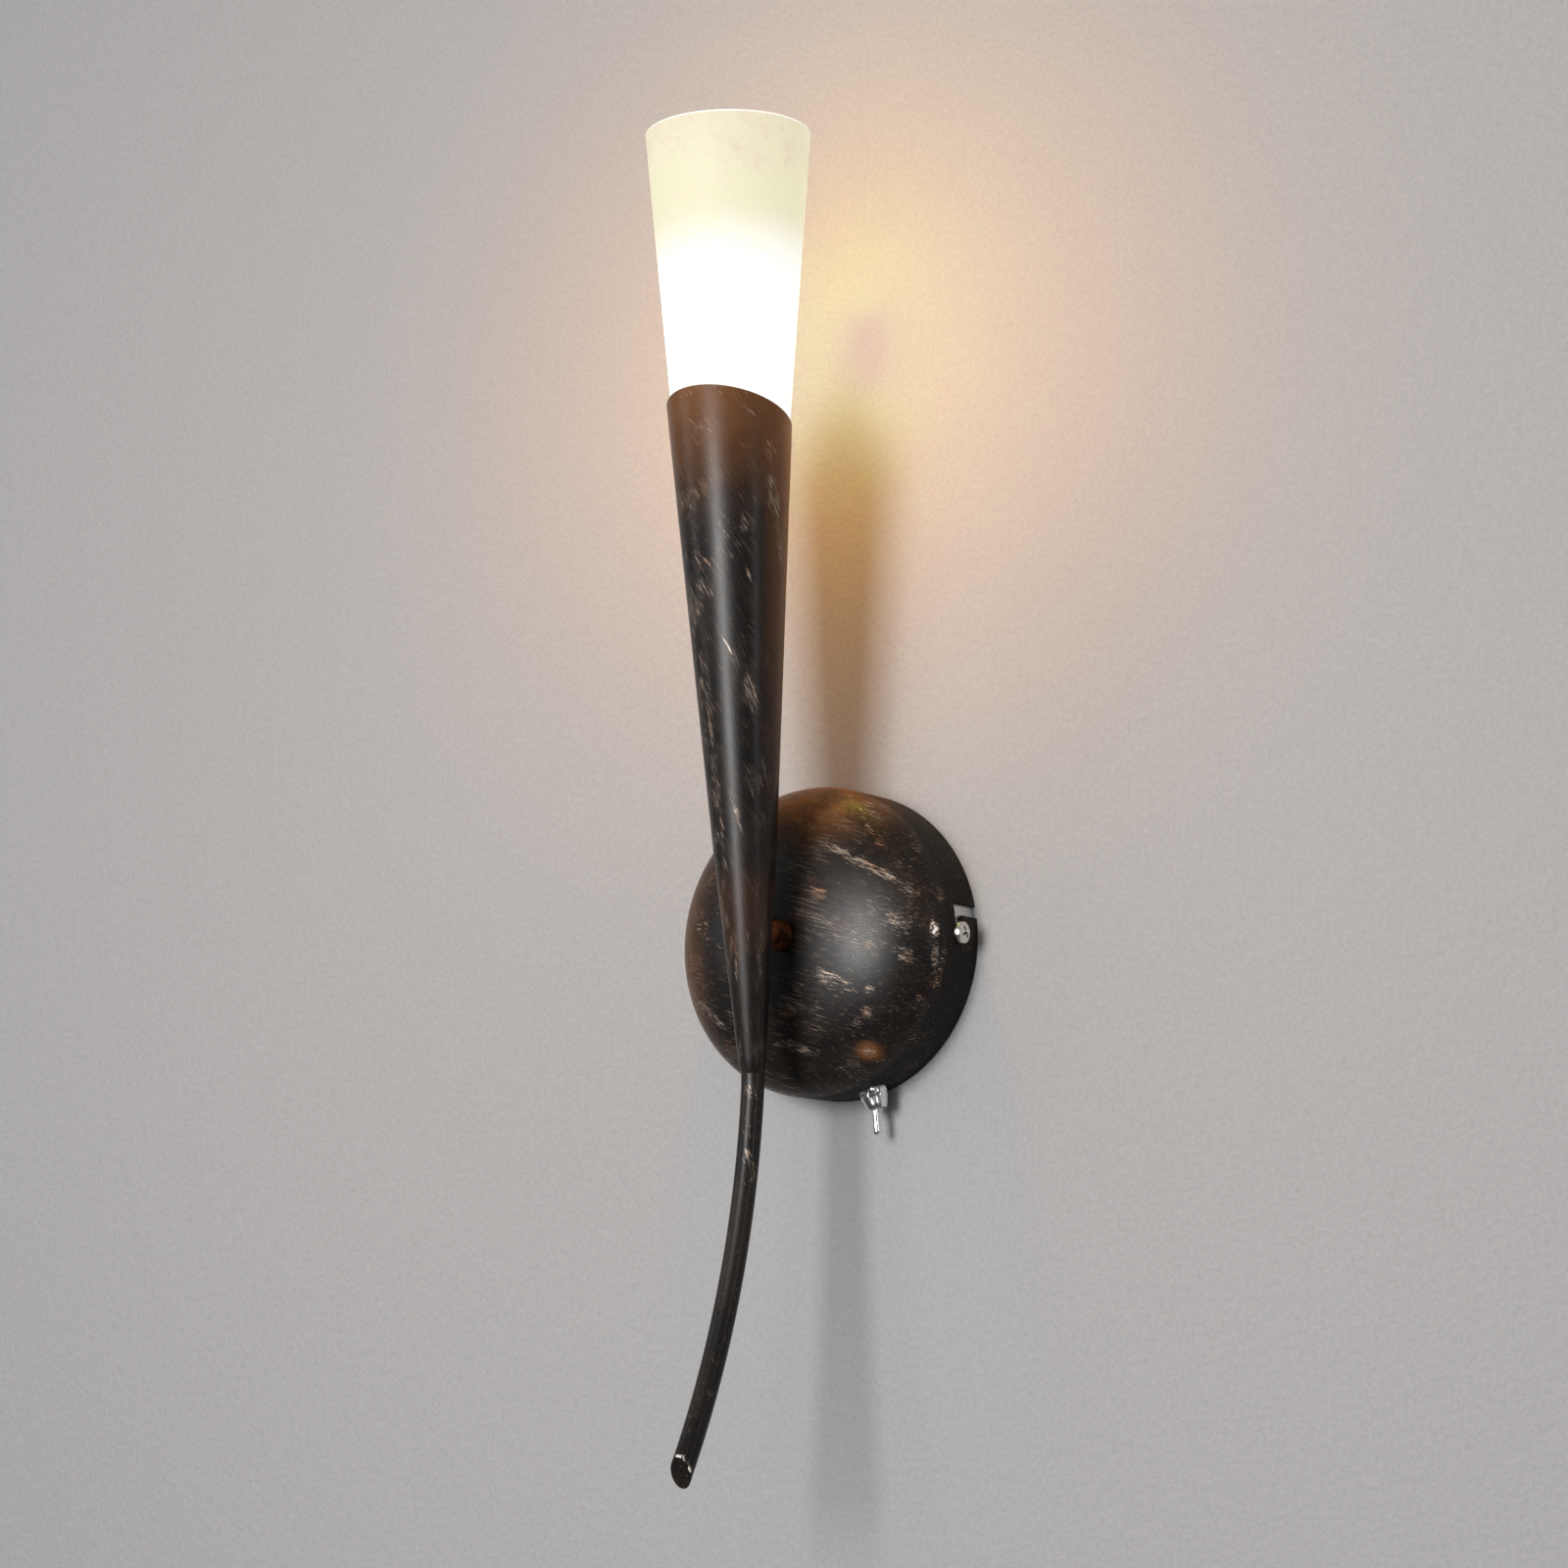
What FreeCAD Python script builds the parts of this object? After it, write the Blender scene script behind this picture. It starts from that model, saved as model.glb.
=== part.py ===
"""Torch wall light: dome canopy on a twist-lock bracket, leaning metal torch, frosted glass shade.

World frame: origin at the canopy's centre on the wall plane, +Z up, the room towards -Y, millimetres.
Three local frames carry the pieces:
  wall frame    x = X, y = up, z = out from the wall
  torch frame   z = along the torch axis, -y = the side away from the wall
  switch frame  z = out of the canopy's skirt, y = towards the wall, x = the lever's swing
"""
import FreeCAD, Part
import math
import os
import Sketcher

Vector = FreeCAD.Vector
Rotation = FreeCAD.Rotation
Placement = FreeCAD.Placement

SIZES = (
    # canopy
    ("canopy_radius", 55.0, "outer radius of the canopy's skirt"),
    ("canopy_skirt", 19.0, "straight depth of the skirt from the wall"),
    ("canopy_crown", 23.2, "height of the dome above the skirt"),
    ("canopy_wall", 1.0, "sheet thickness of the canopy"),
    ("twist_angle", 8.9, "turn from the entry channel to the locked place"),
    # wall bracket
    ("bracket_width", 22.0, "height of the bar and of its two ears"),
    ("bracket_thick", 1.5, "sheet thickness of the bracket"),
    ("bracket_ear", 16.8, "reach of the ears from the wall"),
    ("bracket_gap", 0.35, "free space between ear and skirt"),
    ("slot_spacing", 60.0, "distance of the two wall slots"),
    ("slot_width", 4.6, "width of a wall slot"),
    ("slot_length", 15.0, "end-to-end length of a wall slot"),
    ("ear_boss_radius", 3.6, "drawn collar around the ear's thread"),
    ("ear_boss_reach", 2.6, "depth of the collar behind the ear"),
    # canopy screws, M4 pan head
    ("screw_radius", 2.0, "M4 thread radius"),
    ("screw_head_radius", 4.0, "pan head radius"),
    ("screw_head_height", 2.6, "pan head height"),
    ("screw_height", 12.1, "distance of the screws from the wall"),
    ("screw_reach", 7.5, "thread length under the head"),
    ("screw_slot_clearance", 0.15, "play of the thread in the bayonet slot"),
    ("head_clearance", 0.3, "free space between head and skirt"),
    ("thread_clearance", 0.02, "play of a thread in its hole"),
    ("recess_length", 4.6, "span of the cross recess"),
    ("recess_width", 0.9, "blade width of the cross recess"),
    ("recess_depth", 1.4, "depth of the cross recess"),
    # earth terminal on the bracket
    ("earth_place", 9.0, "distance of the earth screw from the middle"),
    ("earth_boss", 2.0, "drawn collar of the earth thread"),
    ("cup_radius", 4.6, "radius of the cup washer"),
    ("cup_height", 1.4, "height of the cup washer"),
    # arm
    ("arm_radius", 5.5, "outer radius of the arm tube"),
    ("arm_bore", 3.5, "wire bore of the arm tube"),
    ("arm_thread", 5.0, "M10 thread radius of the arm's inner end"),
    ("arm_reach", 10.4, "length of the thread below the canopy's pole"),
    ("arm_hole_clearance", 0.1, "play of the thread in sheet holes"),
    ("washer_radius", 8.4, "radius of the toothed washer"),
    ("washer_thick", 1.0, "thickness of the toothed washer"),
    ("washer_tooth_depth", 1.3, "depth of the washer's teeth"),
    ("nut_flats", 14.0, "M10 lock nut across flats"),
    ("nut_thick", 3.5, "M10 lock nut thickness"),
    ("lug_thick", 0.8, "sheet of the earth lug"),
    ("lug_radius", 7.6, "ring radius of the earth lug"),
    ("lug_reach", 16.0, "reach of the crimp barrel from the arm's axis"),
    ("lug_barrel", 1.5, "radius of the crimp barrel"),
    ("bush_wall", 0.7, "wall of the wire bush"),
    ("bush_length", 6.0, "length of the wire bush inside the bore"),
    ("bush_flange", 1.0, "thickness of the wire bush's flange"),
    # terminal strap and block
    ("strap_thick", 1.2, "sheet of the terminal strap"),
    ("strap_width", 16.0, "width of the terminal strap"),
    ("strap_low", 8.4, "reach of the strap below the arm"),
    ("strap_bend", 14.0, "height of the strap's bend above the arm"),
    ("strap_drop", 8.0, "offset of the strap's bend towards the wall"),
    ("block_length", 30.0, "length of the terminal block"),
    ("block_width", 18.0, "width of the terminal block"),
    ("block_height", 14.0, "height of the terminal block"),
    ("block_rise", 15.0, "lower edge of the block above the arm"),
    ("pole_pitch", 10.0, "distance of the terminal poles"),
    ("pole_radius", 2.2, "outer radius of a brass pole"),
    ("pole_bore", 1.4, "bore of a brass pole"),
    ("pole_length", 15.0, "length of a brass pole"),
    ("pole_screw_radius", 1.25, "clamp screw radius"),
    ("pole_screw_inset", 3.6, "clamp screw's distance from the pole's end"),
    ("small_screw_radius", 1.5, "M3 thread radius"),
    ("small_head_radius", 2.75, "M3 pan head radius"),
    ("small_head_height", 2.0, "M3 pan head height"),
    ("small_nut_flats", 5.5, "M3 nut across flats"),
    ("small_nut_thick", 2.4, "M3 nut thickness"),
    # torch
    ("torch_offset", 61.2, "distance of the torch axis from the wall at the arm"),
    ("torch_lean", 3.55, "outward lean of the torch, degrees"),
    ("torch_wall", 0.5, "sheet thickness of the torch"),
    ("torch_waist", 26.0, "height where the taper changes"),
    ("torch_waist_radius", 10.85, "outer radius at that height"),
    ("torch_low", 44.2, "depth of the lower end of the taper"),
    ("torch_low_radius", 4.86, "outer radius there"),
    ("torch_top", 192.0, "height where the taper would end uncut"),
    ("torch_top_radius", 22.7, "outer radius there"),
    ("rim_height", 179.1, "height of the slanted rim on the axis"),
    ("rim_slant", 19.3, "slant of the rim, degrees"),
    ("neck_reach", 5.2, "length of the swaged neck on the rod"),
    ("neck_lip", 0.15, "sheet left at the end of the neck"),
    ("torch_taper", "=(torch_top_radius - torch_waist_radius) / (torch_top - torch_waist)", "upper taper"),
    ("torch_inner", "=torch_waist_radius - torch_wall - torch_taper * torch_waist", "upper bore at the arm"),
    (
        "rim_back",
        "=(rim_height - tan(rim_slant) * torch_inner) / (1 + tan(rim_slant) * torch_taper)",
        "height of the rim's lowest point, towards the wall",
    ),
    # tail
    ("tail_radius", 4.0, "radius of the tail rod"),
    ("tail_clearance", 0.02, "play of the rod in the neck"),
    ("tail_plug", 19.0, "length of the straight rod in neck and torch"),
    ("tail_first_bend", 45.0, "radius of the first bend"),
    ("tail_first_turn", 8.3, "turn of the first bend, degrees"),
    ("tail_sweep", 300.0, "radius of the long sweep"),
    ("tail_sweep_turn", 25.8, "turn of the long sweep, degrees"),
    ("tail_cut", 13.4, "slant of the end face below the torch's outward side"),
    # lamp holder
    ("plate_height", 146.1, "underside of the holder plate"),
    ("plate_thick", 1.0, "sheet of the holder plate"),
    ("plate_clearance", 0.1, "play of the plate in the torch"),
    ("plate_radius", "=torch_inner + torch_taper * plate_height - plate_clearance", "radius of the plate"),
    ("plate_hole", 6.5, "wire hole of the plate"),
    ("cushion_height", 2.0, "height of the cushion ring"),
    ("cushion_inset", 0.63, "step from the plate's edge to the cushion ring"),
    ("cushion_width", 2.8, "width of the cushion ring"),
    ("cushion_outer", "=plate_radius - cushion_inset", "outer radius of the cushion ring"),
    ("cushion_inner", "=cushion_outer - cushion_width", "inner radius of the cushion ring"),
    ("holder_height", 16.0, "height of the ceramic holder"),
    ("flange_gap", 1.2, "free space between flange end and cushion ring"),
    ("flange_edge", 2.8, "flange beyond the middle of a holder screw"),
    ("flange_web", 3.0, "step from a holder screw's middle to the holder's wall"),
    ("holder_flange", "=2 * (cushion_inner - flange_gap)", "length of the holder's flange"),
    ("holder_screws", "=holder_flange / 2 - flange_edge", "distance of the holder screws from the axis"),
    ("holder_radius", "=holder_screws - flange_web", "radius of the ceramic holder"),
    ("holder_flange_width", 10.0, "width of the holder's flange"),
    ("holder_flange_thick", 3.0, "thickness of the holder's flange"),
    ("pin_spacing", 9.5, "distance of the two lamp pins"),
    ("contact_radius", 1.2, "outer radius of a contact sleeve"),
    ("contact_lift", 3.0, "lower end of a contact above the plate"),
    ("contact_length", 12.0, "length of a contact sleeve"),
    # lamp capsule
    ("pin_radius", 0.45, "radius of a lamp pin"),
    ("pin_length", 8.0, "length of a pin below the pinch"),
    ("pin_clearance", 0.05, "play of a pin in its contact"),
    ("pinch_gap", 0.3, "free space between pinch and holder"),
    ("pinch_length", 10.0, "height of the flat pinch seal"),
    ("pinch_width", 13.0, "width of the pinch seal"),
    ("pinch_thick", 4.4, "thickness of the pinch seal"),
    ("capsule_radius", 6.75, "outer radius of the capsule"),
    ("capsule_wall", 0.9, "glass wall of the capsule"),
    ("capsule_length", 20.0, "straight length of the capsule"),
    ("filament_radius", 0.7, "radius of the filament coil"),
    ("filament_height", 9.0, "height of the filament above the pinch"),
    ("filament_length", 7.0, "length of the filament"),
    ("lead_radius", 0.25, "radius of the filament's leads"),
    # glass shade
    ("shade_shift", 0.5, "offset of the shade's foot away from the wall"),
    ("shade_seat_gap", 0.3, "free space between shade and cushion"),
    ("shade_foot_inset", 0.47, "step from the plate's edge to the shade's foot"),
    ("shade_flare", 10.82, "step from the shade's foot to its mouth"),
    ("shade_rim_gap", 0.19, "free space between the leaning shade and the torch's rim"),
    ("shade_foot_radius", "=plate_radius - shade_foot_inset", "outer radius of the shade's foot"),
    ("shade_mouth_radius", "=shade_foot_radius + shade_flare", "outer radius of the shade's mouth"),
    ("shade_length", 131.5, "length of the shade"),
    (
        "seat_depth",
        "=rim_back - plate_height - plate_thick - cushion_height - shade_seat_gap",
        "height of the rim's lowest point above the shade's seat",
    ),
    (
        "shade_play",
        "=torch_inner + torch_taper * rim_back - shade_rim_gap + shade_shift - shade_foot_radius"
        " - shade_flare / shade_length * seat_depth",
        "way from the upright shade to the rim's lowest point",
    ),
    ("shade_lean_back", "=atan(shade_play / seat_depth) / 1 deg", "lean of the shade to the rim, degrees"),
    ("shade_wall", 2.5, "glass wall of the shade"),
    ("shade_edge", 0.7, "rounding of the shade's mouth"),
    # switch
    ("switch_angle", 18.0, "place of the switch round the skirt from its lowest point, degrees"),
    ("switch_height", 9.2, "distance of the switch's axis from the wall"),
    ("bushing_radius", 3.0, "M6 thread radius of the switch bushing"),
    ("bushing_bore", 2.2, "bore of the bushing"),
    ("bushing_reach", 3.9, "reach of the bushing beyond the skirt"),
    ("switch_length", 13.2, "length of the switch body along the swing"),
    ("switch_width", 7.9, "width of the switch body"),
    ("switch_depth", 9.5, "depth of the switch body"),
    ("switch_frame_thick", 0.6, "sheet of the switch frame"),
    ("switch_nut_flats", 8.0, "inner nut across flats"),
    ("switch_nut_thick", 1.5, "inner nut thickness"),
    ("switch_nut_gap", 0.25, "free space between inner nut and skirt's middle"),
    ("dress_flats", 9.6, "dress nut across flats"),
    ("dress_base", 2.4, "height of the dress nut's hexagon"),
    ("dress_height", 7.4, "height of the dress nut"),
    ("dress_tip_radius", 3.15, "outer radius of the dress nut's tip"),
    ("dress_mouth", 2.6, "opening of the dress nut"),
    ("lever_pivot", 2.0, "height of the lever's pivot above the skirt"),
    ("lever_ball", 1.75, "radius of the lever's pivot ball"),
    ("lever_radius", 1.1, "radius of the lever at the nut"),
    ("lever_tip_radius", 1.35, "radius of the lever's tip"),
    ("lever_length", 14.2, "length of the lever from its pivot"),
    ("lever_tilt", 12.5, "tilt of the lever to each side, degrees"),
    ("lead_spacing", 4.7, "distance of the switch's solder lugs"),
    ("lead_reach", 4.2, "length of a solder lug"),
    ("lead_width", 1.6, "width of a solder lug"),
    ("lead_thick", 0.7, "thickness of a solder lug"),
    # wires
    ("wire_radius", 0.9, "radius of an insulated wire"),
    ("wire_pair", 1.05, "offset of the two lamp wires from the middle"),
    ("wire_drop", 4.8, "offset of the lamp wires from the torch axis at the arm"),
    ("wire_rise", 45.0, "straight height of the lamp wires above the arm"),
    ("wire_fan", 26.0, "straight length of the lamp wires below the holder"),
    ("wire_tail", 8.0, "straight length of a wire at the switch"),
    ("wire_sweep", 60.0, "bend radius of a lamp wire inside the torch"),
    ("wire_bend", 10.5, "bend radius of a wire where there is room"),
    ("wire_tight_bend", 5.6, "bend radius of a wire inside the canopy"),
    ("wire_entry", 1.0, "straight wire in front of a terminal pole"),
    ("wire_crimp", 2.0, "wire end inside the lug's barrel"),
    ("feed_low", 2.0, "height above the arm where the switch feed turns down"),
    ("earth_loop", 11.0, "sideways reach of the earth wire beyond the lug"),
    ("earth_return", 8.0, "sideways place where the earth wire turns back"),
    ("earth_dip", 7.0, "drop of the earth wire below the arm"),
    ("earth_lift", 4.0, "step of the earth wire away from the wall"),
)

DOC = FreeCAD.newDocument("torch_sconce")
SHEET = DOC.addObject("Spreadsheet::Sheet", "Sizes")
NODES = []

TURN = {
    "x": (Vector(0, 1, 0), "90"),
    "y": (Vector(-1, 0, 0), "90"),
    "out_of_wall": (Vector(1, 0, 0), "90"),
}


def fill_sheet():
    """Write every size into the sheet, with its name and meaning; a text with = is worked out there."""
    for row, (name, value, meaning) in enumerate(SIZES, start=1):
        SHEET.set(f"A{row}", name)
        SHEET.set(f"B{row}", str(value))
        SHEET.set(f"C{row}", meaning)
        SHEET.setAlias(f"B{row}", name)
    DOC.recompute()


def expr(text):
    """Turn size names written as {name} into references to the sheet."""
    return text.replace("{", "Sizes.").replace("}", "")


def value(text):
    """Work out an expression of sheet sizes as a number."""
    return float(SHEET.evalExpression(expr(text)))


def bind(piece, prop, text):
    """Tie one property of a piece to an expression of sheet sizes."""
    piece.setExpression(prop, expr(text))


# Local frames: where each one starts, its turning axis and its angle.
WALL = (("0", "0", "0"), Vector(1, 0, 0), "90")
TORCH = (("0", "-{torch_offset}", "0"), Vector(1, 0, 0), "{torch_lean}")
SHADE_FOOT = (
    "{plate_height} + {plate_thick} + {cushion_height} + {shade_seat_gap}"
    " + {shade_foot_radius} * sin({shade_lean_back})"
)
SHADE = (
    (
        "0",
        f"-{{torch_offset}} - ({SHADE_FOOT}) * sin({{torch_lean}}) - {{shade_shift}} * cos({{torch_lean}})",
        f"({SHADE_FOOT}) * cos({{torch_lean}}) - {{shade_shift}} * sin({{torch_lean}})",
    ),
    Vector(1, 0, 0),
    "{torch_lean} - {shade_lean_back}",
)
SWITCH = (
    (
        "{canopy_radius} * sin({switch_angle})",
        "-{switch_height}",
        "-{canopy_radius} * cos({switch_angle})",
    ),
    Vector(0, 1, 0),
    "180 - {switch_angle}",
)


def set_frame(piece, at, axis=None, angle="0"):
    """Give a piece its place and turn, both tied to the sheet."""
    turn = Rotation(axis, value(angle)) if axis else Rotation()
    piece.Placement = Placement(Vector(*[value(text) for text in at]), turn)
    for letter, text in zip("xyz", at):
        bind(piece, f"Placement.Base.{letter}", text)
    if axis:
        bind(piece, "Placement.Rotation.Angle", angle)


def node(piece, frame):
    """Register a finished sub-part in its local frame."""
    set_frame(piece, *frame)
    NODES.append(piece)
    return piece


def depth_frame(out, across="0", up="0"):
    """The wall frame, moved to a depth, across and up."""
    return ((across, f"-({out})", up), Vector(1, 0, 0), "90")


def primitive(kind, label, sizes, at=("0", "0", "0"), turn=None):
    """Add a Part primitive whose sizes and place are tied to the sheet."""
    piece = DOC.addObject(f"Part::{kind}", label)
    for prop, text in sizes.items():
        bind(piece, prop, text)
    if turn:
        set_frame(piece, at, *turn)
    else:
        set_frame(piece, at)
    return piece


def cylinder(label, radius, height, at=("0", "0", "0"), turn=None):
    """A cylinder that starts at a point and runs along its turned z axis."""
    return primitive("Cylinder", label, {"Radius": radius, "Height": height}, at, turn)


def cone(label, low, high, height, at=("0", "0", "0"), turn=None):
    """A cone frustum that starts at a point and runs along its turned z axis."""
    sizes = {"Radius1": low, "Radius2": high, "Height": height}
    return primitive("Cone", label, sizes, at, turn)


def box(label, sides, at, turn=None):
    """A box from its low corner."""
    sizes = dict(zip(("Length", "Width", "Height"), sides))
    return primitive("Box", label, sizes, at, turn)


def middle_box(label, sides, at):
    """A box centred in x and y on a point, standing on its z."""
    corner = (f"{at[0]} - ({sides[0]}) / 2", f"{at[1]} - ({sides[1]}) / 2", at[2])
    return box(label, sides, corner)


def hexagon(label, flats, height, at):
    """A hexagonal prism given across its flats."""
    piece = DOC.addObject("Part::Prism", label)
    piece.Polygon = 6
    bind(piece, "Circumradius", f"{flats} / 2 / cos(30)")
    bind(piece, "Height", height)
    set_frame(piece, at)
    return piece


def fuse(label, *pieces):
    """Join pieces into one solid."""
    joined = DOC.addObject("Part::MultiFuse", label)
    joined.Shapes = list(pieces)
    joined.Refine = True
    return joined


def cut(label, base, *tools):
    """Take the tools away from the base."""
    result = DOC.addObject("Part::Cut", label)
    result.Base = base
    result.Tool = tools[0] if len(tools) == 1 else fuse(label + "_tools", *tools)
    return result


def common(label, first, second):
    """Keep what two pieces share."""
    result = DOC.addObject("Part::Common", label)
    result.Base = first
    result.Tool = second
    return result


def group(label, pieces):
    """Keep identical separate solids together as one node."""
    result = DOC.addObject("Part::Compound", label)
    result.Links = list(pieces)
    return result


def corner_rule(index, kind, text):
    """The constraint that holds one coordinate of a profile's corner."""
    if text == "0":
        return Sketcher.Constraint("PointOnObject", index, 1, -2 if kind == "DistanceX" else -1)
    return Sketcher.Constraint(kind, -1, 1, index, 1, value(text))


def draw_profile(sketch, corners):
    """Draw a closed outline whose corners are tied to the sheet."""
    spots = [Vector(value(across), value(along), 0) for across, along in corners]
    for index, spot in enumerate(spots):
        sketch.addGeometry(Part.LineSegment(spot, spots[(index + 1) % len(spots)]), False)
    for index in range(len(spots)):
        sketch.addConstraint(Sketcher.Constraint("Coincident", index, 2, (index + 1) % len(spots), 1))
    for index, corner in enumerate(corners):
        for kind, text in zip(("DistanceX", "DistanceY"), corner):
            rule = sketch.addConstraint(corner_rule(index, kind, text))
            if text != "0":
                sketch.setExpression(f"Constraints[{rule}]", expr(text))


def sketch_on(body, role, name):
    """Start a sketch on one of the body's own origin planes."""
    sketch = body.newObject("Sketcher::SketchObject", name)
    plane = next(item for item in body.Origin.OriginFeatures if item.Role == role)
    sketch.AttachmentSupport = [(plane, "")]
    sketch.MapMode = "FlatFace"
    return sketch


def turned(label, corners):
    """A body turned about z from an outline of (radius, height) corners."""
    body = DOC.addObject("PartDesign::Body", label)
    sketch = sketch_on(body, "XZ_Plane", label + "_outline")
    draw_profile(sketch, corners)
    turn = body.newObject("PartDesign::Revolution", label + "_turn")
    turn.Profile = sketch
    turn.ReferenceAxis = (sketch, ["V_Axis"])
    turn.Angle = 360
    DOC.recompute()
    return body


def pan_screw(label, radius, head, height, reach, recess="1"):
    """A pan head screw: z = 0 under the head, thread down, cross recess in the head."""
    shaft = cylinder(label + "_shaft", radius, reach, ("0", "0", f"-({reach})"))
    side = cylinder(label + "_side", head, f"{height} * 0.55")
    crown = cone(label + "_crown", head, f"{head} * 0.62", f"{height} * 0.45", ("0", "0", f"{height} * 0.55"))
    solid = fuse(label + "_solid", shaft, side, crown)
    length = f"{{recess_length}} * {recess}"
    width = f"{{recess_width}} * {recess}"
    deep = f"{{recess_depth}} * {recess}"
    floor = f"{height} - ({deep})"
    blade = middle_box(label + "_blade", (length, width, deep), ("0", "0", floor))
    cross = middle_box(label + "_cross", (width, length, deep), ("0", "0", floor))
    return cut(label, solid, blade, cross)


# ---- wall bracket -------------------------------------------------------------------------------

EAR_OUTER = "{canopy_radius} - {canopy_wall} - {bracket_gap}"
EARTH_SPOT = ("{earth_place}", "0", "0")


def bracket_bar():
    """Pressed bar on the wall with two curved ears, tapped for the canopy's screws."""
    disc = cylinder("bracket_disc", EAR_OUTER, "{bracket_ear}")
    hollow = cylinder(
        "bracket_hollow", f"{EAR_OUTER} - {{bracket_thick}}", "{bracket_ear}", ("0", "0", "{bracket_thick}")
    )
    tray = cut("bracket_tray", disc, hollow)
    span = f"2 * ({EAR_OUTER}) + 2"
    band = middle_box("bracket_band", (span, "{bracket_width}", "{bracket_ear}"), ("0", "0", "0"))
    strip = common("bracket_strip", tray, band)
    inner = f"{EAR_OUTER} - {{bracket_thick}} - {{ear_boss_reach}}"
    pieces = [strip]
    for side, sign in (("right", ""), ("left", "-")):
        pieces.append(ear_boss(side, sign, inner))
    earth_height = "{bracket_thick} + {earth_boss}"
    pieces.append(cylinder("bracket_earth_boss", "{ear_boss_radius}", earth_height, EARTH_SPOT))
    blank = fuse("bracket_blank", *pieces)
    reach = f"2 * ({EAR_OUTER}) + 2"
    bore = "{screw_radius} + {thread_clearance}"
    tools = [
        cylinder("ear_thread", bore, reach, (f"-({reach}) / 2", "0", "{screw_height}"), TURN["x"]),
        cylinder("earth_thread", bore, earth_height, EARTH_SPOT),
    ]
    for side, sign in (("right", ""), ("left", "-")):
        tools.append(wall_slot(side, sign))
    return node(cut("bracket_bar", blank, *tools), WALL)


def ear_boss(side, sign, inner):
    """The drawn collar behind one ear."""
    length = "{bracket_thick} / 2 + {ear_boss_reach}"
    start = inner if sign == "" else f"-({inner}) - ({length})"
    spot = (start, "0", "{screw_height}")
    return cylinder(f"ear_boss_{side}", "{ear_boss_radius}", length, spot, TURN["x"])


def wall_slot(side, sign):
    """One long hole for a wall screw, along the bar."""
    middle = f"{sign}{{slot_spacing}} / 2"
    straight = "{slot_length} - {slot_width}"
    sides = (straight, "{slot_width}", "{bracket_thick}")
    channel = middle_box(f"slot_{side}_channel", sides, (middle, "0", "0"))
    ends = []
    for end, step in (("inner", "-"), ("outer", "+")):
        spot = (f"{middle} {step} ({straight}) / 2", "0", "0")
        ends.append(cylinder(f"slot_{side}_{end}", "{slot_width} / 2", "{bracket_thick}", spot))
    return fuse(f"slot_{side}", channel, *ends)


def canopy_screws():
    """The two M4 screws whose threads ride in the bayonet slots."""
    screws = []
    for side, axis in (("right", Vector(0, 1, 0)), ("left", Vector(0, -1, 0))):
        screw = pan_screw(
            f"canopy_screw_{side}",
            "{screw_radius}",
            "{screw_head_radius}",
            "{screw_head_height}",
            "{screw_reach}",
        )
        seat = "{canopy_radius} + {head_clearance}"
        across = seat if side == "right" else f"-({seat})"
        set_frame(screw, (across, "0", "{screw_height}"), axis, "90")
        screws.append(screw)
    return node(group("canopy_screws", screws), WALL)


def earth_terminal():
    """Earth screw of the bracket and its cup washer."""
    top = "{bracket_thick} + {earth_boss}"
    washer = cut(
        "earth_cup_washer",
        cylinder("cup_blank", "{cup_radius}", "{cup_height}"),
        cylinder("cup_hole", "{screw_radius} + {arm_hole_clearance}", "{cup_height}"),
    )
    node(washer, depth_frame(top, "{earth_place}"))
    reach = f"{top} + {{cup_height}} - {{head_clearance}}"
    screw = pan_screw("earth_screw", "{screw_radius}", "{screw_head_radius}", "{screw_head_height}", reach)
    node(screw, depth_frame(f"{top} + {{cup_height}}", "{earth_place}"))


# ---- canopy -------------------------------------------------------------------------------------


def dome(label, radius, crown):
    """A skirt with an elliptical crown."""
    skirt = cylinder(label + "_skirt", radius, "{canopy_skirt}")
    cap = primitive(
        "Ellipsoid",
        label + "_cap",
        {"Radius1": crown, "Radius2": radius, "Radius3": radius},
        ("0", "0", "{canopy_skirt}"),
    )
    cap.Angle1 = 0
    return fuse(label, skirt, cap)


def bayonet_slot(side, angle, sign):
    """The L-shaped slot of one side: in from the wall edge, then round to the screw."""
    half = "({screw_radius} + {screw_slot_clearance})"
    reach = "{canopy_wall} * 6"
    start = "{canopy_radius} - {canopy_wall} * 3"
    sides = (reach, f"2 * {half}", f"{{screw_height}} + {half} + 1")
    entry = box(f"entry_{side}_cut", sides, (start, f"-{half}", "-1"))
    entry_turned = carried_round(f"entry_{side}", entry, angle)
    across = start if sign == "" else f"-({start}) - {reach}"
    travel = "{canopy_radius} * sin({twist_angle})"
    low = "0" if sign == "" else f"-({travel})"
    channel = box(
        f"channel_{side}", (reach, travel, f"2 * {half}"), (across, low, f"{{screw_height}} - {half}")
    )
    seat = cylinder(f"seat_{side}", half, reach, (across, "0", "{screw_height}"), TURN["x"])
    return [entry_turned, channel, seat]


def carried_round(label, piece, angle):
    """Carry one cutting piece round the canopy's axis."""
    carried = group(label, [piece])
    set_frame(carried, ("0", "0", "0"), Vector(0, 0, 1), angle)
    return carried


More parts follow.
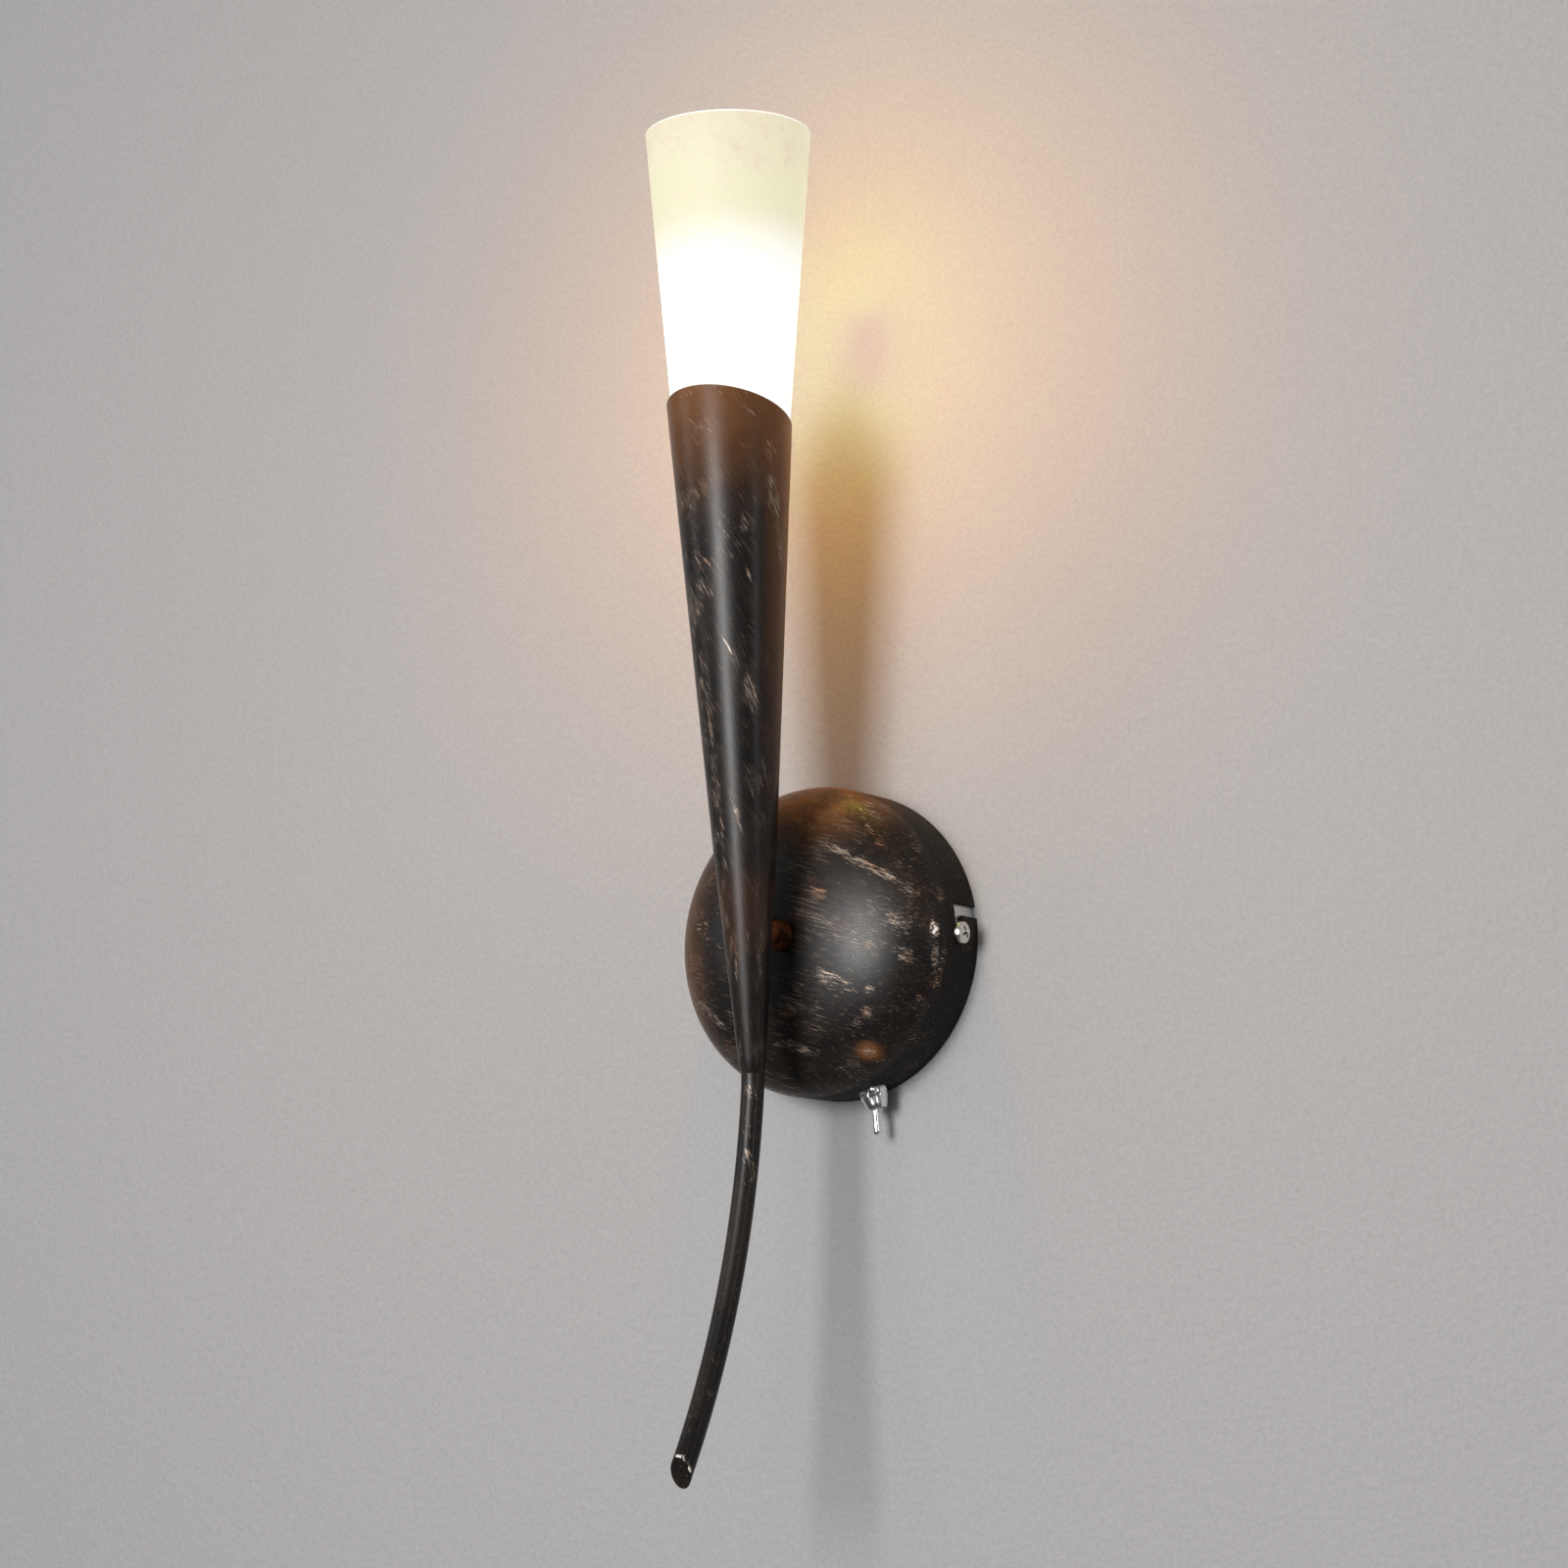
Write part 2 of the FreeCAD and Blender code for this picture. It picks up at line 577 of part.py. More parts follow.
def canopy_shell():
    """Pressed steel dome with the arm hole, the switch hole and the two bayonet slots."""
    outer = dome("canopy_outer", "{canopy_radius}", "{canopy_crown}")
    inner = dome("canopy_inner", "{canopy_radius} - {canopy_wall}", "{canopy_crown} - {canopy_wall}")
    shell = cut("canopy_sheet", outer, inner)
    arm_hole = cylinder(
        "canopy_arm_hole",
        "{arm_thread} + {arm_hole_clearance}",
        "{canopy_crown}",
        ("0", "0", "{canopy_skirt} + {canopy_crown} / 2"),
    )
    switch_hole = cylinder(
        "canopy_switch_hole",
        "{bushing_radius} + {arm_hole_clearance}",
        "{canopy_radius}",
        ("0", "0", "{switch_height}"),
        TURN["x"],
    )
    hole_turned = carried_round("switch_hole", switch_hole, "{switch_angle} - 90")
    tools = [arm_hole, hole_turned]
    tools += bayonet_slot("right", "{twist_angle}", "")
    tools += bayonet_slot("left", "180 + {twist_angle}", "-")
    return node(cut("canopy_shell", shell, *tools), WALL)


# ---- arm ----------------------------------------------------------------------------------------

POLE = "({canopy_skirt} + {canopy_crown})"
WASHER_TOP = (
    "({canopy_skirt} + ({canopy_crown} - {canopy_wall})"
    " * sqrt(1 - ({washer_radius} / ({canopy_radius} - {canopy_wall}))^2))"
)
WASHER_LOW = f"({WASHER_TOP} - {{washer_thick}})"
LUG_LOW = f"({WASHER_LOW} - {{lug_thick}})"
STRAP_LOW = f"({LUG_LOW} - {{strap_thick}})"
NUT_LOW = f"({STRAP_LOW} - {{nut_thick}})"
ARM_END = f"({POLE} - {{arm_reach}})"


def torch_envelope(label):
    """The lower taper of the torch as a plain cone, seen from the wall frame."""
    slope = "(({torch_waist_radius} - {torch_low_radius}) / ({torch_waist} + {torch_low}))"
    base = "{torch_waist_radius} - " + slope + " * {torch_waist}"
    height = "{torch_waist}"
    upper = cone(label + "_upper", base, "{torch_waist_radius}", height)
    lower = cone(
        label + "_lower", "{torch_low_radius}", base, "{torch_low}", ("0", "0", "-{torch_low}")
    )
    both = fuse(label, upper, lower)
    set_frame(both, ("0", "0", "{torch_offset}"), Vector(-1, 0, 0), "90 - {torch_lean}")
    return both


def arm_tube():
    """Turned tube between canopy and torch: a shoulder outside, an M10 thread inside."""
    shoulder = cylinder("arm_shoulder", "{arm_radius}", f"{{torch_offset}} - {POLE}", ("0", "0", POLE))
    thread = cylinder("arm_thread_part", "{arm_thread}", f"{{arm_reach}} + 1", ("0", "0", ARM_END))
    bore = cylinder("arm_bore_cut", "{arm_bore}", "{torch_offset}", ("0", "0", f"{ARM_END} - 1"))
    blank = fuse("arm_blank", shoulder, thread)
    return node(cut("arm_tube", blank, bore, torch_envelope("arm_saddle")), WALL)


def arm_washer():
    """Toothed lock washer under the dome."""
    hole = "{arm_thread} + {arm_hole_clearance}"
    ring = cylinder("washer_ring", "{washer_radius}", "{washer_thick}")
    tools = [cylinder("washer_hole", hole, "{washer_thick}")]
    teeth = 12
    for index in range(teeth):
        notch = middle_box(
            f"washer_notch_{index}",
            ("{washer_tooth_depth} * 2", "{washer_tooth_depth}", "{washer_thick}"),
            ("{washer_radius}", "0", "0"),
        )
        tools.append(carried_round(f"washer_gap_{index}", notch, f"360 * {index} / {teeth}"))
    return node(cut("arm_tooth_washer", ring, *tools), depth_frame(WASHER_LOW))


def earth_lug():
    """Ring tongue of the lamp's earth wire, clamped under the lock nut."""
    ring = cylinder("lug_ring", "{lug_radius}", "{lug_thick}")
    tongue = box(
        "lug_tongue",
        ("{lug_reach} * 0.7", "{lug_barrel} * 2", "{lug_thick}"),
        ("-{lug_reach} * 0.7", "-{lug_barrel}", "0"),
    )
    spot = ("-{lug_reach}", "0", "{lug_thick} - {lug_barrel}")
    barrel = cylinder("lug_barrel_part", "{lug_barrel}", "{lug_reach} - {lug_radius} - 1", spot, TURN["x"])
    wire_hole = cylinder("lug_wire_hole", "{wire_radius} + {thread_clearance}", "3", spot, TURN["x"])
    arm_hole = cylinder("lug_arm_hole", "{arm_thread} + {arm_hole_clearance}", "{lug_thick}")
    blank = fuse("lug_blank", ring, tongue, barrel)
    return node(cut("earth_lug", blank, wire_hole, arm_hole), depth_frame(LUG_LOW))


def arm_lock_nut():
    """M10 lock nut that clamps canopy, washer, lug and strap to the arm."""
    nut = cut(
        "arm_lock_nut",
        hexagon("nut_blank", "{nut_flats}", "{nut_thick}", ("0", "0", "0")),
        cylinder("nut_hole", "{arm_thread} + {thread_clearance}", "{nut_thick}"),
    )
    return node(nut, depth_frame(NUT_LOW))


def wire_bush():
    """Plastic bush that keeps the wires off the arm's sharp inner end."""
    outer = "{arm_bore} - {thread_clearance}"
    corners = (
        ("{arm_bore} - {bush_wall}", "-{bush_flange}"),
        ("{arm_thread} - {arm_hole_clearance}", "-{bush_flange}"),
        ("{arm_thread} - {arm_hole_clearance}", "0"),
        (outer, "0"),
        (outer, "{bush_length}"),
        ("{arm_bore} - {bush_wall}", "{bush_length}"),
    )
    return node(turned("wire_bush", corners), depth_frame(ARM_END))


# ---- terminal strap and block -------------------------------------------------------------------

SHELF_LOW = f"({STRAP_LOW} - {{strap_drop}})"
BLOCK_LOW = f"({SHELF_LOW} - {{block_height}})"
BLOCK_MIDDLE = "({block_rise} + {block_width} / 2)"
POLE_DEPTH = f"({SHELF_LOW} - {{block_height}} / 2)"
STRAP_FOOT = ("-{strap_width} / 2", "-{strap_low}", STRAP_LOW)


def terminal_strap():
    """Bent strap under the lock nut that carries the terminal block."""
    foot_height = "{strap_low} + {strap_bend}"
    foot = box("strap_foot", ("{strap_width}", foot_height, "{strap_thick}"), STRAP_FOOT)
    web = box(
        "strap_web",
        ("{strap_width}", "{strap_thick}", "{strap_drop} + {strap_thick}"),
        ("-{strap_width} / 2", "{strap_bend} - {strap_thick}", SHELF_LOW),
    )
    shelf = box(
        "strap_shelf",
        ("{strap_width}", "{block_width} + {block_rise} - {strap_bend} + {strap_thick}", "{strap_thick}"),
        ("-{strap_width} / 2", "{strap_bend} - {strap_thick}", SHELF_LOW),
    )
    arm_hole = cylinder(
        "strap_arm_hole", "{arm_thread} + {arm_hole_clearance}", "{strap_thick}", ("0", "0", STRAP_LOW)
    )
    block_hole = cylinder(
        "strap_block_hole",
        "{small_screw_radius} + {thread_clearance}",
        "{strap_thick}",
        ("{pole_pitch} / 2", BLOCK_MIDDLE, SHELF_LOW),
    )
    return node(cut("terminal_strap", fuse("strap_blank", foot, web, shelf), arm_hole, block_hole), WALL)


def pole_spots():
    """Names and places of the three terminal poles along the block."""
    return (("left", "-{pole_pitch}"), ("middle", "0"), ("right", "{pole_pitch}"))


def clamp_spots():
    """Names and places of the six clamp screws."""
    spots = []
    for side, across in pole_spots():
        for end, step in (("low", "-"), ("high", "+")):
            up = f"{BLOCK_MIDDLE} {step} ({{pole_length}} / 2 - {{pole_screw_inset}})"
            spots.append((f"{side}_{end}", across, up))
    return spots


def terminal_housing():
    """Plastic three-pole terminal block."""
    blank = middle_box(
        "block_blank", ("{block_length}", "{block_width}", "{block_height}"), ("0", BLOCK_MIDDLE, BLOCK_LOW)
    )
    tools = []
    for side, across in pole_spots():
        spot = (across, "{block_rise}", POLE_DEPTH)
        radius = "{pole_radius} + {thread_clearance}"
        tools.append(cylinder(f"block_bore_{side}", radius, "{block_width}", spot, TURN["y"]))
    for name, across, up in clamp_spots():
        radius = "{pole_screw_radius} + {screw_slot_clearance}"
        spot = (across, up, BLOCK_LOW)
        tools.append(cylinder(f"block_screw_bore_{name}", radius, "{block_height} / 2", spot))
    fixing = ("{pole_pitch} / 2", BLOCK_MIDDLE, BLOCK_LOW)
    radius = "{small_screw_radius} + {arm_hole_clearance}"
    tools.append(cylinder("block_fixing_bore", radius, "{block_height}", fixing))
    radius = "{small_head_radius} + {screw_slot_clearance}"
    tools.append(cylinder("block_fixing_recess", radius, "{small_head_height} + 1", fixing))
    return node(cut("terminal_housing", blank, *tools), WALL)


def terminal_poles():
    """The three brass tubes of the terminal block."""
    poles = []
    for side, across in pole_spots():
        start = (across, f"{BLOCK_MIDDLE} - {{pole_length}} / 2", POLE_DEPTH)
        tube = cylinder(f"pole_{side}_tube", "{pole_radius}", "{pole_length}", start, TURN["y"])
        tools = [cylinder(f"pole_{side}_bore", "{pole_bore}", "{pole_length}", start, TURN["y"])]
        for name, clamp_across, up in clamp_spots():
            if name.startswith(side):
                radius = "{pole_screw_radius} + {thread_clearance}"
                spot = (clamp_across, up, f"{POLE_DEPTH} - {{pole_radius}} - 1")
                tools.append(cylinder(f"pole_hole_{name}", radius, "{pole_radius} + 1", spot))
        poles.append(cut(f"pole_{side}", tube, *tools))
    return node(group("terminal_poles", poles), WALL)


def terminal_clamp_screws():
    """The six clamp screws, with a slot, pressed on the wires."""
    screws = []
    length = "{block_height} / 2 - {wire_radius} - 1"
    for name, across, up in clamp_spots():
        spot = (across, up, f"{BLOCK_LOW} + 1")
        shaft = cylinder(f"clamp_{name}_shaft", "{pole_screw_radius}", length, spot)
        slot = middle_box(f"clamp_{name}_slot", ("{pole_screw_radius} * 3", "0.5", "0.8"), spot)
        screws.append(cut(f"clamp_{name}", shaft, slot))
    return node(group("terminal_clamp_screws", screws), WALL)


def terminal_fixing_screw():
    """M3 screw that holds the terminal block to its strap."""
    reach = "{block_height} - {small_head_height} + {strap_thick}"
    screw = pan_screw(
        "terminal_fixing_screw",
        "{small_screw_radius}",
        "{small_head_radius}",
        "{small_head_height}",
        reach,
        "0.7",
    )
    seat = f"{BLOCK_LOW} + {{small_head_height}} + 1"
    place = ("{pole_pitch} / 2", f"-({seat})", BLOCK_MIDDLE)
    return node(screw, (place, Vector(-1, 0, 0), "90"))


# ---- torch --------------------------------------------------------------------------------------


def torch_cone():
    """Rolled and spun sheet cone, swaged onto the rod below and cut at a slant above."""
    bore = "{tail_radius} + {tail_clearance}"
    slope = "(({torch_waist_radius} - {torch_low_radius}) / ({torch_waist} + {torch_low}))"
    shoulder = f"-{{torch_low}} - ({{torch_low_radius}} - {{torch_wall}} - ({bore})) / {slope}"
    low = "-{torch_low} - {neck_reach}"
    corners = (
        (bore, low),
        (f"{bore} + {{neck_lip}}", low),
        ("{torch_low_radius}", "-{torch_low}"),
        ("{torch_waist_radius}", "{torch_waist}"),
        ("{torch_top_radius}", "{torch_top}"),
        ("{torch_top_radius} - {torch_wall}", "{torch_top}"),
        ("{torch_waist_radius} - {torch_wall}", "{torch_waist}"),
        (bore, shoulder),
    )
    blank = turned("torch_blank", corners)
    wire_hole = cylinder(
        "torch_wire_hole",
        "{arm_bore}",
        "{torch_offset}",
        ("0", "0", "0"),
        (Vector(-1, 0, 0), "90 + {torch_lean}"),
    )
    slice_box = box(
        "torch_slice",
        ("{torch_top_radius} * 4", "{torch_top_radius} * 4", "{torch_top_radius} * 4"),
        ("-{torch_top_radius} * 2", "-{torch_top_radius} * 2", "0"),
    )
    slice_turned = group("torch_rim_cut", [slice_box])
    set_frame(slice_turned, ("0", "0", "{rim_height}"), Vector(-1, 0, 0), "{rim_slant}")
    return node(cut("torch_cone", blank, wire_hole, slice_turned), TORCH)


def arc_points(start, heading, radius, turn):
    """Middle point, end point and end heading of a bend in the yz plane.

    The heading is the angle from straight down towards -y.
    """
    def at(angle):
        across = radius * (math.cos(heading) - math.cos(heading + angle))
        down = radius * (math.sin(heading + angle) - math.sin(heading))
        return start + Vector(0, -across, -down)

    return at(turn / 2), at(turn), heading + turn


def tail_rod():
    """Bent round bar: a straight plug in the torch, a short bend, a long sweep, a slanted end."""
    radius = value("{tail_radius}")
    start = Vector(0, 0, -value("{torch_low} + {neck_reach}"))
    plug = start + Vector(0, 0, value("{tail_plug}"))
    first_turn = math.radians(value("{tail_first_turn}"))
    sweep_turn = math.radians(value("{tail_sweep_turn}"))
    middle_one, end_one, heading = arc_points(start, 0.0, value("{tail_first_bend}"), first_turn)
    middle_two, end_two, heading = arc_points(end_one, heading, value("{tail_sweep}"), sweep_turn)
    along = Vector(0, -math.sin(heading), -math.cos(heading))
    beyond = end_two + along * (4 * radius)
    edges = [
        Part.LineSegment(plug, start).toShape(),
        Part.Arc(start, middle_one, end_one).toShape(),
        Part.Arc(end_one, middle_two, end_two).toShape(),
        Part.LineSegment(end_two, beyond).toShape(),
    ]
    path = Part.Wire(edges)
    ring = Part.Wire([Part.makeCircle(radius, plug, Vector(0, 0, 1))])
    bar = path.makePipeShell([ring], True, False)
    slant = math.radians(value("{tail_cut}"))
    normal = Vector(0, -math.cos(slant), -math.sin(slant))
    side = 12 * radius
    face = Part.makePlane(side, side, end_two - Vector(side / 2, 0, 0), normal)
    centre = face.CenterOfMass
    face.translate(end_two - centre)
    piece = DOC.addObject("Part::Feature", "tail_rod")
    piece.Shape = bar.cut(face.extrude(normal * side))
    return node(piece, TORCH)


# ---- lamp holder --------------------------------------------------------------------------------

PLATE_TOP = "({plate_height} + {plate_thick})"
HOLDER_TOP = f"({PLATE_TOP} + {{holder_height}})"


def holder_plate():
    """Round plate brazed across the torch; it carries the holder and the shade's cushion."""
    disc = cylinder("plate_disc", "{plate_radius}", "{plate_thick}", ("0", "0", "{plate_height}"))
    tools = [cylinder("plate_wire_hole", "{plate_hole}", "{plate_thick}", ("0", "0", "{plate_height}"))]
    for side, sign in (("right", ""), ("left", "-")):
        spot = (f"{sign}{{holder_screws}}", "0", "{plate_height}")
        radius = "{small_screw_radius} + {arm_hole_clearance}"
        tools.append(cylinder(f"plate_screw_hole_{side}", radius, "{plate_thick}", spot))
    return node(cut("holder_plate", disc, *tools), TORCH)


def cushion_ring():
    """Silicone ring that the glass stands on."""
    corners = (
        ("{cushion_inner}", PLATE_TOP),
        ("{cushion_outer}", PLATE_TOP),
        ("{cushion_outer}", f"{PLATE_TOP} + {{cushion_height}}"),
        ("{cushion_inner}", f"{PLATE_TOP} + {{cushion_height}}"),
    )
    return node(turned("cushion_ring", corners), TORCH)


def pin_sides():
    """The two pin places across the holder."""
    return (("right", "{pin_spacing} / 2"), ("left", "-{pin_spacing} / 2"))


def lamp_holder():
    """Ceramic pin holder with a screwed flange."""
    body = cylinder("holder_body", "{holder_radius}", "{holder_height}", ("0", "0", PLATE_TOP))
    flange = middle_box(
        "holder_flange_part",
        ("{holder_flange}", "{holder_flange_width}", "{holder_flange_thick}"),
        ("0", "0", PLATE_TOP),
    )
    tools = []
    for side, across in pin_sides():
        radius = "{contact_radius} + {thread_clearance}"
        tools.append(cylinder(f"holder_bore_{side}", radius, "{holder_height}", (across, "0", PLATE_TOP)))
    for side, sign in (("right", ""), ("left", "-")):
        spot = (f"{sign}{{holder_screws}}", "0", PLATE_TOP)
        radius = "{small_screw_radius} + {arm_hole_clearance}"
        tools.append(cylinder(f"holder_screw_hole_{side}", radius, "{holder_flange_thick}", spot))
    return node(cut("lamp_holder", fuse("holder_blank", body, flange), *tools), TORCH)


def holder_contacts():
    """Two spring sleeves that take the lamp's pins."""
    sleeves = []
    for side, across in pin_sides():
        spot = (across, "0", f"{PLATE_TOP} + {{contact_lift}}")
        tube = cylinder(f"contact_{side}_tube", "{contact_radius}", "{contact_length}", spot)
        bore = cylinder(f"contact_{side}_bore", "{pin_radius} + {pin_clearance}", "{contact_length}", spot)
        sleeves.append(cut(f"contact_{side}", tube, bore))
    return node(group("holder_contacts", sleeves), TORCH)


def holder_fasteners():
    """M3 screws through flange and plate, with nuts below."""
    screws = []
    nuts = []
    seat = f"{PLATE_TOP} + {{holder_flange_thick}}"
    reach = "{holder_flange_thick} + {plate_thick} + {small_nut_thick} + 0.6"
    for side, sign in (("right", ""), ("left", "-")):
        across = f"{sign}{{holder_screws}}"
        screw = pan_screw(
            f"holder_screw_{side}",
            "{small_screw_radius}",
            "{small_head_radius}",
            "{small_head_height}",
            reach,
            "0.7",
        )
        set_frame(screw, (across, "0", seat))
        screws.append(screw)
        spot = (across, "0", "{plate_height} - {small_nut_thick}")
        blank = hexagon(f"holder_nut_{side}_blank", "{small_nut_flats}", "{small_nut_thick}", spot)
        hole = cylinder(
            f"holder_nut_{side}_hole", "{small_screw_radius} + {thread_clearance}", "{small_nut_thick}", spot
        )
        nuts.append(cut(f"holder_nut_{side}", blank, hole))
    node(group("holder_screws", screws), TORCH)
    node(group("holder_nuts", nuts), TORCH)


# ---- lamp capsule -------------------------------------------------------------------------------

PINCH_LOW = f"({HOLDER_TOP} + {{pinch_gap}})"
PINCH_TOP = f"({PINCH_LOW} + {{pinch_length}})"


def capsule_form(label, radius, length, low):
    """A round bulb: a cylinder closed by half spheres, the lower one flattened into the pinch."""
    barrel = cylinder(label + "_barrel", radius, length, ("0", "0", low))
    roof = primitive("Sphere", label + "_roof", {"Radius": radius}, ("0", "0", f"{low} + {length}"))
    floor = primitive(
        "Ellipsoid",
        label + "_floor",
        {"Radius1": "{capsule_radius} / 3", "Radius2": radius, "Radius3": radius},
        ("0", "0", low),
    )
    return fuse(label, barrel, roof, floor)


def bulb_envelope():
    """Glass capsule with its flat pinch seal."""
    sides = ("{pinch_width}", "{pinch_thick}", "{pinch_length}")
    pinch = middle_box("pinch_seal", sides, ("0", "0", PINCH_LOW))
    outer = capsule_form("capsule_outer", "{capsule_radius}", "{capsule_length}", PINCH_TOP)
    inner = capsule_form(
        "capsule_inner", "{capsule_radius} - {capsule_wall}", "{capsule_length}", f"{PINCH_TOP} + 1"
    )
    leads = []
    for side, across in pin_sides():
        spot = (across, "0", PINCH_LOW)
        leads.append(cylinder(f"pinch_hole_{side}", "{pin_radius}", "{pinch_length} * 0.7", spot))
    for side, sign in (("right", ""), ("left", "-")):
        spot = (f"{sign}{{filament_length}} / 2", "0", PINCH_LOW + " + {pinch_length} * 0.7")
        leads.append(cylinder(f"pinch_lead_{side}", "{lead_radius}", "{pinch_length}", spot))
    return node(cut("bulb_envelope", fuse("envelope_blank", pinch, outer), inner, *leads), TORCH)


def bulb_pins():
    """The two wire pins under the pinch."""
    pins = []
    for side, across in pin_sides():
        spot = (across, "0", f"{PINCH_LOW} - {{pin_length}}")
        pins.append(cylinder(f"pin_{side}", "{pin_radius}", "{pin_length} + {pinch_length} * 0.7", spot))
    return node(group("bulb_pins", pins), TORCH)


def bulb_filament():
    """Level filament on two upright leads."""
    height = f"({PINCH_TOP} + {{filament_height}})"
    start = ("-{filament_length} / 2", "0", height)
    pieces = [cylinder("filament_coil", "{filament_radius}", "{filament_length}", start, TURN["x"])]
    low = PINCH_LOW + " + {pinch_length} * 0.7"
    for side, sign in (("right", ""), ("left", "-")):
        spot = (f"{sign}{{filament_length}} / 2", "0", low)
        pieces.append(cylinder(f"filament_lead_{side}", "{lead_radius}", f"{height} - ({low})", spot))
    return node(fuse("bulb_filament", *pieces), TORCH)


# ---- glass shade --------------------------------------------------------------------------------


def glass_shade():
    """Open glass cone that stands in the torch's mouth, leaning back a little."""
    edge = "{shade_edge}"
    corners = (
        ("{shade_foot_radius} - {shade_wall}", "0"),
        ("{shade_foot_radius}", "0"),
        ("{shade_mouth_radius}", f"{{shade_length}} - {edge}"),
        (f"{{shade_mouth_radius}} - {edge}", "{shade_length}"),
        (f"{{shade_mouth_radius}} - {{shade_wall}} + {edge}", "{shade_length}"),
        ("{shade_mouth_radius} - {shade_wall}", f"{{shade_length}} - {edge}"),
    )
    return node(turned("glass_shade", corners), SHADE)


# ---- switch -------------------------------------------------------------------------------------

INNER_NUT_TOP = "(-{canopy_wall} - {switch_nut_gap})"
FRAME_TOP = f"({INNER_NUT_TOP} - {{switch_nut_thick}})"
BODY_TOP = f"({FRAME_TOP} - {{switch_frame_thick}})"
BODY_LOW = f"({BODY_TOP} - {{switch_depth}})"


def switch_body():
    """Moulded housing of the toggle switch."""
    sides = ("{switch_length}", "{switch_width}", "{switch_depth}")
    block = middle_box("switch_block", sides, ("0", "0", BODY_LOW))
    tools = []
    for side, sign in (("right", ""), ("left", "-")):
        spot = (f"{sign}{{lead_spacing}} / 2", "0", BODY_LOW)
        tools.append(middle_box(f"lead_slot_{side}", ("{lead_thick}", "{lead_width}", "{lead_reach}"), spot))
    depth = "{lever_ball} * 2"
    spot = ("0", "0", f"{BODY_TOP} - {depth}")
    well = cone("switch_well", "{bushing_bore} / 2", "{bushing_bore}", depth, spot)
    return node(cut("switch_body", block, well, *tools), SWITCH)


def switch_bushing():
    """Metal frame with the threaded bushing."""
    plate = middle_box(
        "switch_plate", ("{switch_length}", "{switch_width}", "{switch_frame_thick}"), ("0", "0", BODY_TOP)
    )
    reach = f"{{bushing_reach}} - {FRAME_TOP}"
    neck = cylinder("bushing_neck", "{bushing_radius}", reach, ("0", "0", FRAME_TOP))
    depth = f"{{bushing_reach}} - {BODY_TOP}"
    bore = cylinder("bushing_bore_cut", "{bushing_bore}", depth, ("0", "0", BODY_TOP))
    return node(cut("switch_bushing", fuse("bushing_blank", plate, neck), bore), SWITCH)


def switch_nuts():
    """Plain inner nut and conical outer dress nut."""
    hole = "{bushing_radius} + {thread_clearance}"
    spot = ("0", "0", FRAME_TOP)
    inner = cut(
        "switch_inner_nut",
        hexagon("inner_nut_blank", "{switch_nut_flats}", "{switch_nut_thick}", spot),
        cylinder("inner_nut_hole", hole, "{switch_nut_thick}", spot),
    )
    node(inner, SWITCH)
    seat = ("0", "0", "{thread_clearance}")
    base = hexagon("dress_base_part", "{dress_flats}", "{dress_base}", seat)
    crown = cone(
        "dress_crown",
        "{dress_flats} / 2",
        "{dress_tip_radius}",
        "{dress_height} - {dress_base}",
        ("0", "0", "{dress_base} + {thread_clearance}"),
    )
    thread = cylinder("dress_thread", hole, "{bushing_reach} + {head_clearance}")
    mouth = cone(
        "dress_mouth_cut",
        "{lever_ball}",
        "{dress_mouth}",
        "{dress_height} - {bushing_reach}",
        ("0", "0", "{bushing_reach} + {thread_clearance}"),
    )
    node(cut("switch_dress_nut", fuse("dress_blank", base, crown), thread, mouth), SWITCH)


def switch_lever():
    """Bat lever with its pivot ball, tilted to one side."""
    ball = primitive("Sphere", "lever_ball_part", {"Radius": "{lever_ball}"})
    stem = cone("lever_stem", "{lever_radius}", "{lever_tip_radius}", "{lever_length} - {lever_tip_radius}")
    spot = ("0", "0", "{lever_length} - {lever_tip_radius}")
    tip = primitive("Sphere", "lever_tip", {"Radius": "{lever_tip_radius}"}, spot)
    lever = fuse("switch_lever", ball, stem, tip)
    pivot = "({canopy_radius} + {lever_pivot})"
    place = (f"{pivot} * sin({{switch_angle}})", "-{switch_height}", f"-{pivot} * cos({{switch_angle}})")
    return node(lever, (place, Vector(0, 1, 0), "180 - {switch_angle} + {lever_tilt}"))


def switch_leads():
    """The two solder lugs."""
    lugs = []
    for side, sign in (("right", ""), ("left", "-")):
        spot = (f"{sign}{{lead_spacing}} / 2", "0", f"{BODY_LOW} - {{lead_reach}}")
        sides = ("{lead_thick}", "{lead_width}", "{lead_reach} * 1.8")
        lugs.append(middle_box(f"switch_lead_{side}", sides, spot))
    return node(group("switch_leads", lugs), SWITCH)


# ---- wires --------------------------------------------------------------------------------------


def bend_path(points, radii):
    """A wire path of straight runs joined by tangent arcs."""
    edges = []
    last = points[0]
    for index in range(1, len(points) - 1):
        corner = points[index]
        back = (points[index - 1] - corner).normalize()
        ahead = (points[index + 1] - corner).normalize()
        half = back.getAngle(ahead) / 2
        inset = radii[index - 1] / math.tan(half)
        start = corner + back * inset
        end = corner + ahead * inset
        bisector = (back + ahead).normalize()
        middle = corner + bisector * (radii[index - 1] / math.sin(half) - radii[index - 1])
        edges.append(Part.LineSegment(last, start).toShape())
        edges.append(Part.Arc(start, middle, end).toShape())
        last = end
    edges.append(Part.LineSegment(last, points[-1]).toShape())
    return Part.Wire(edges)


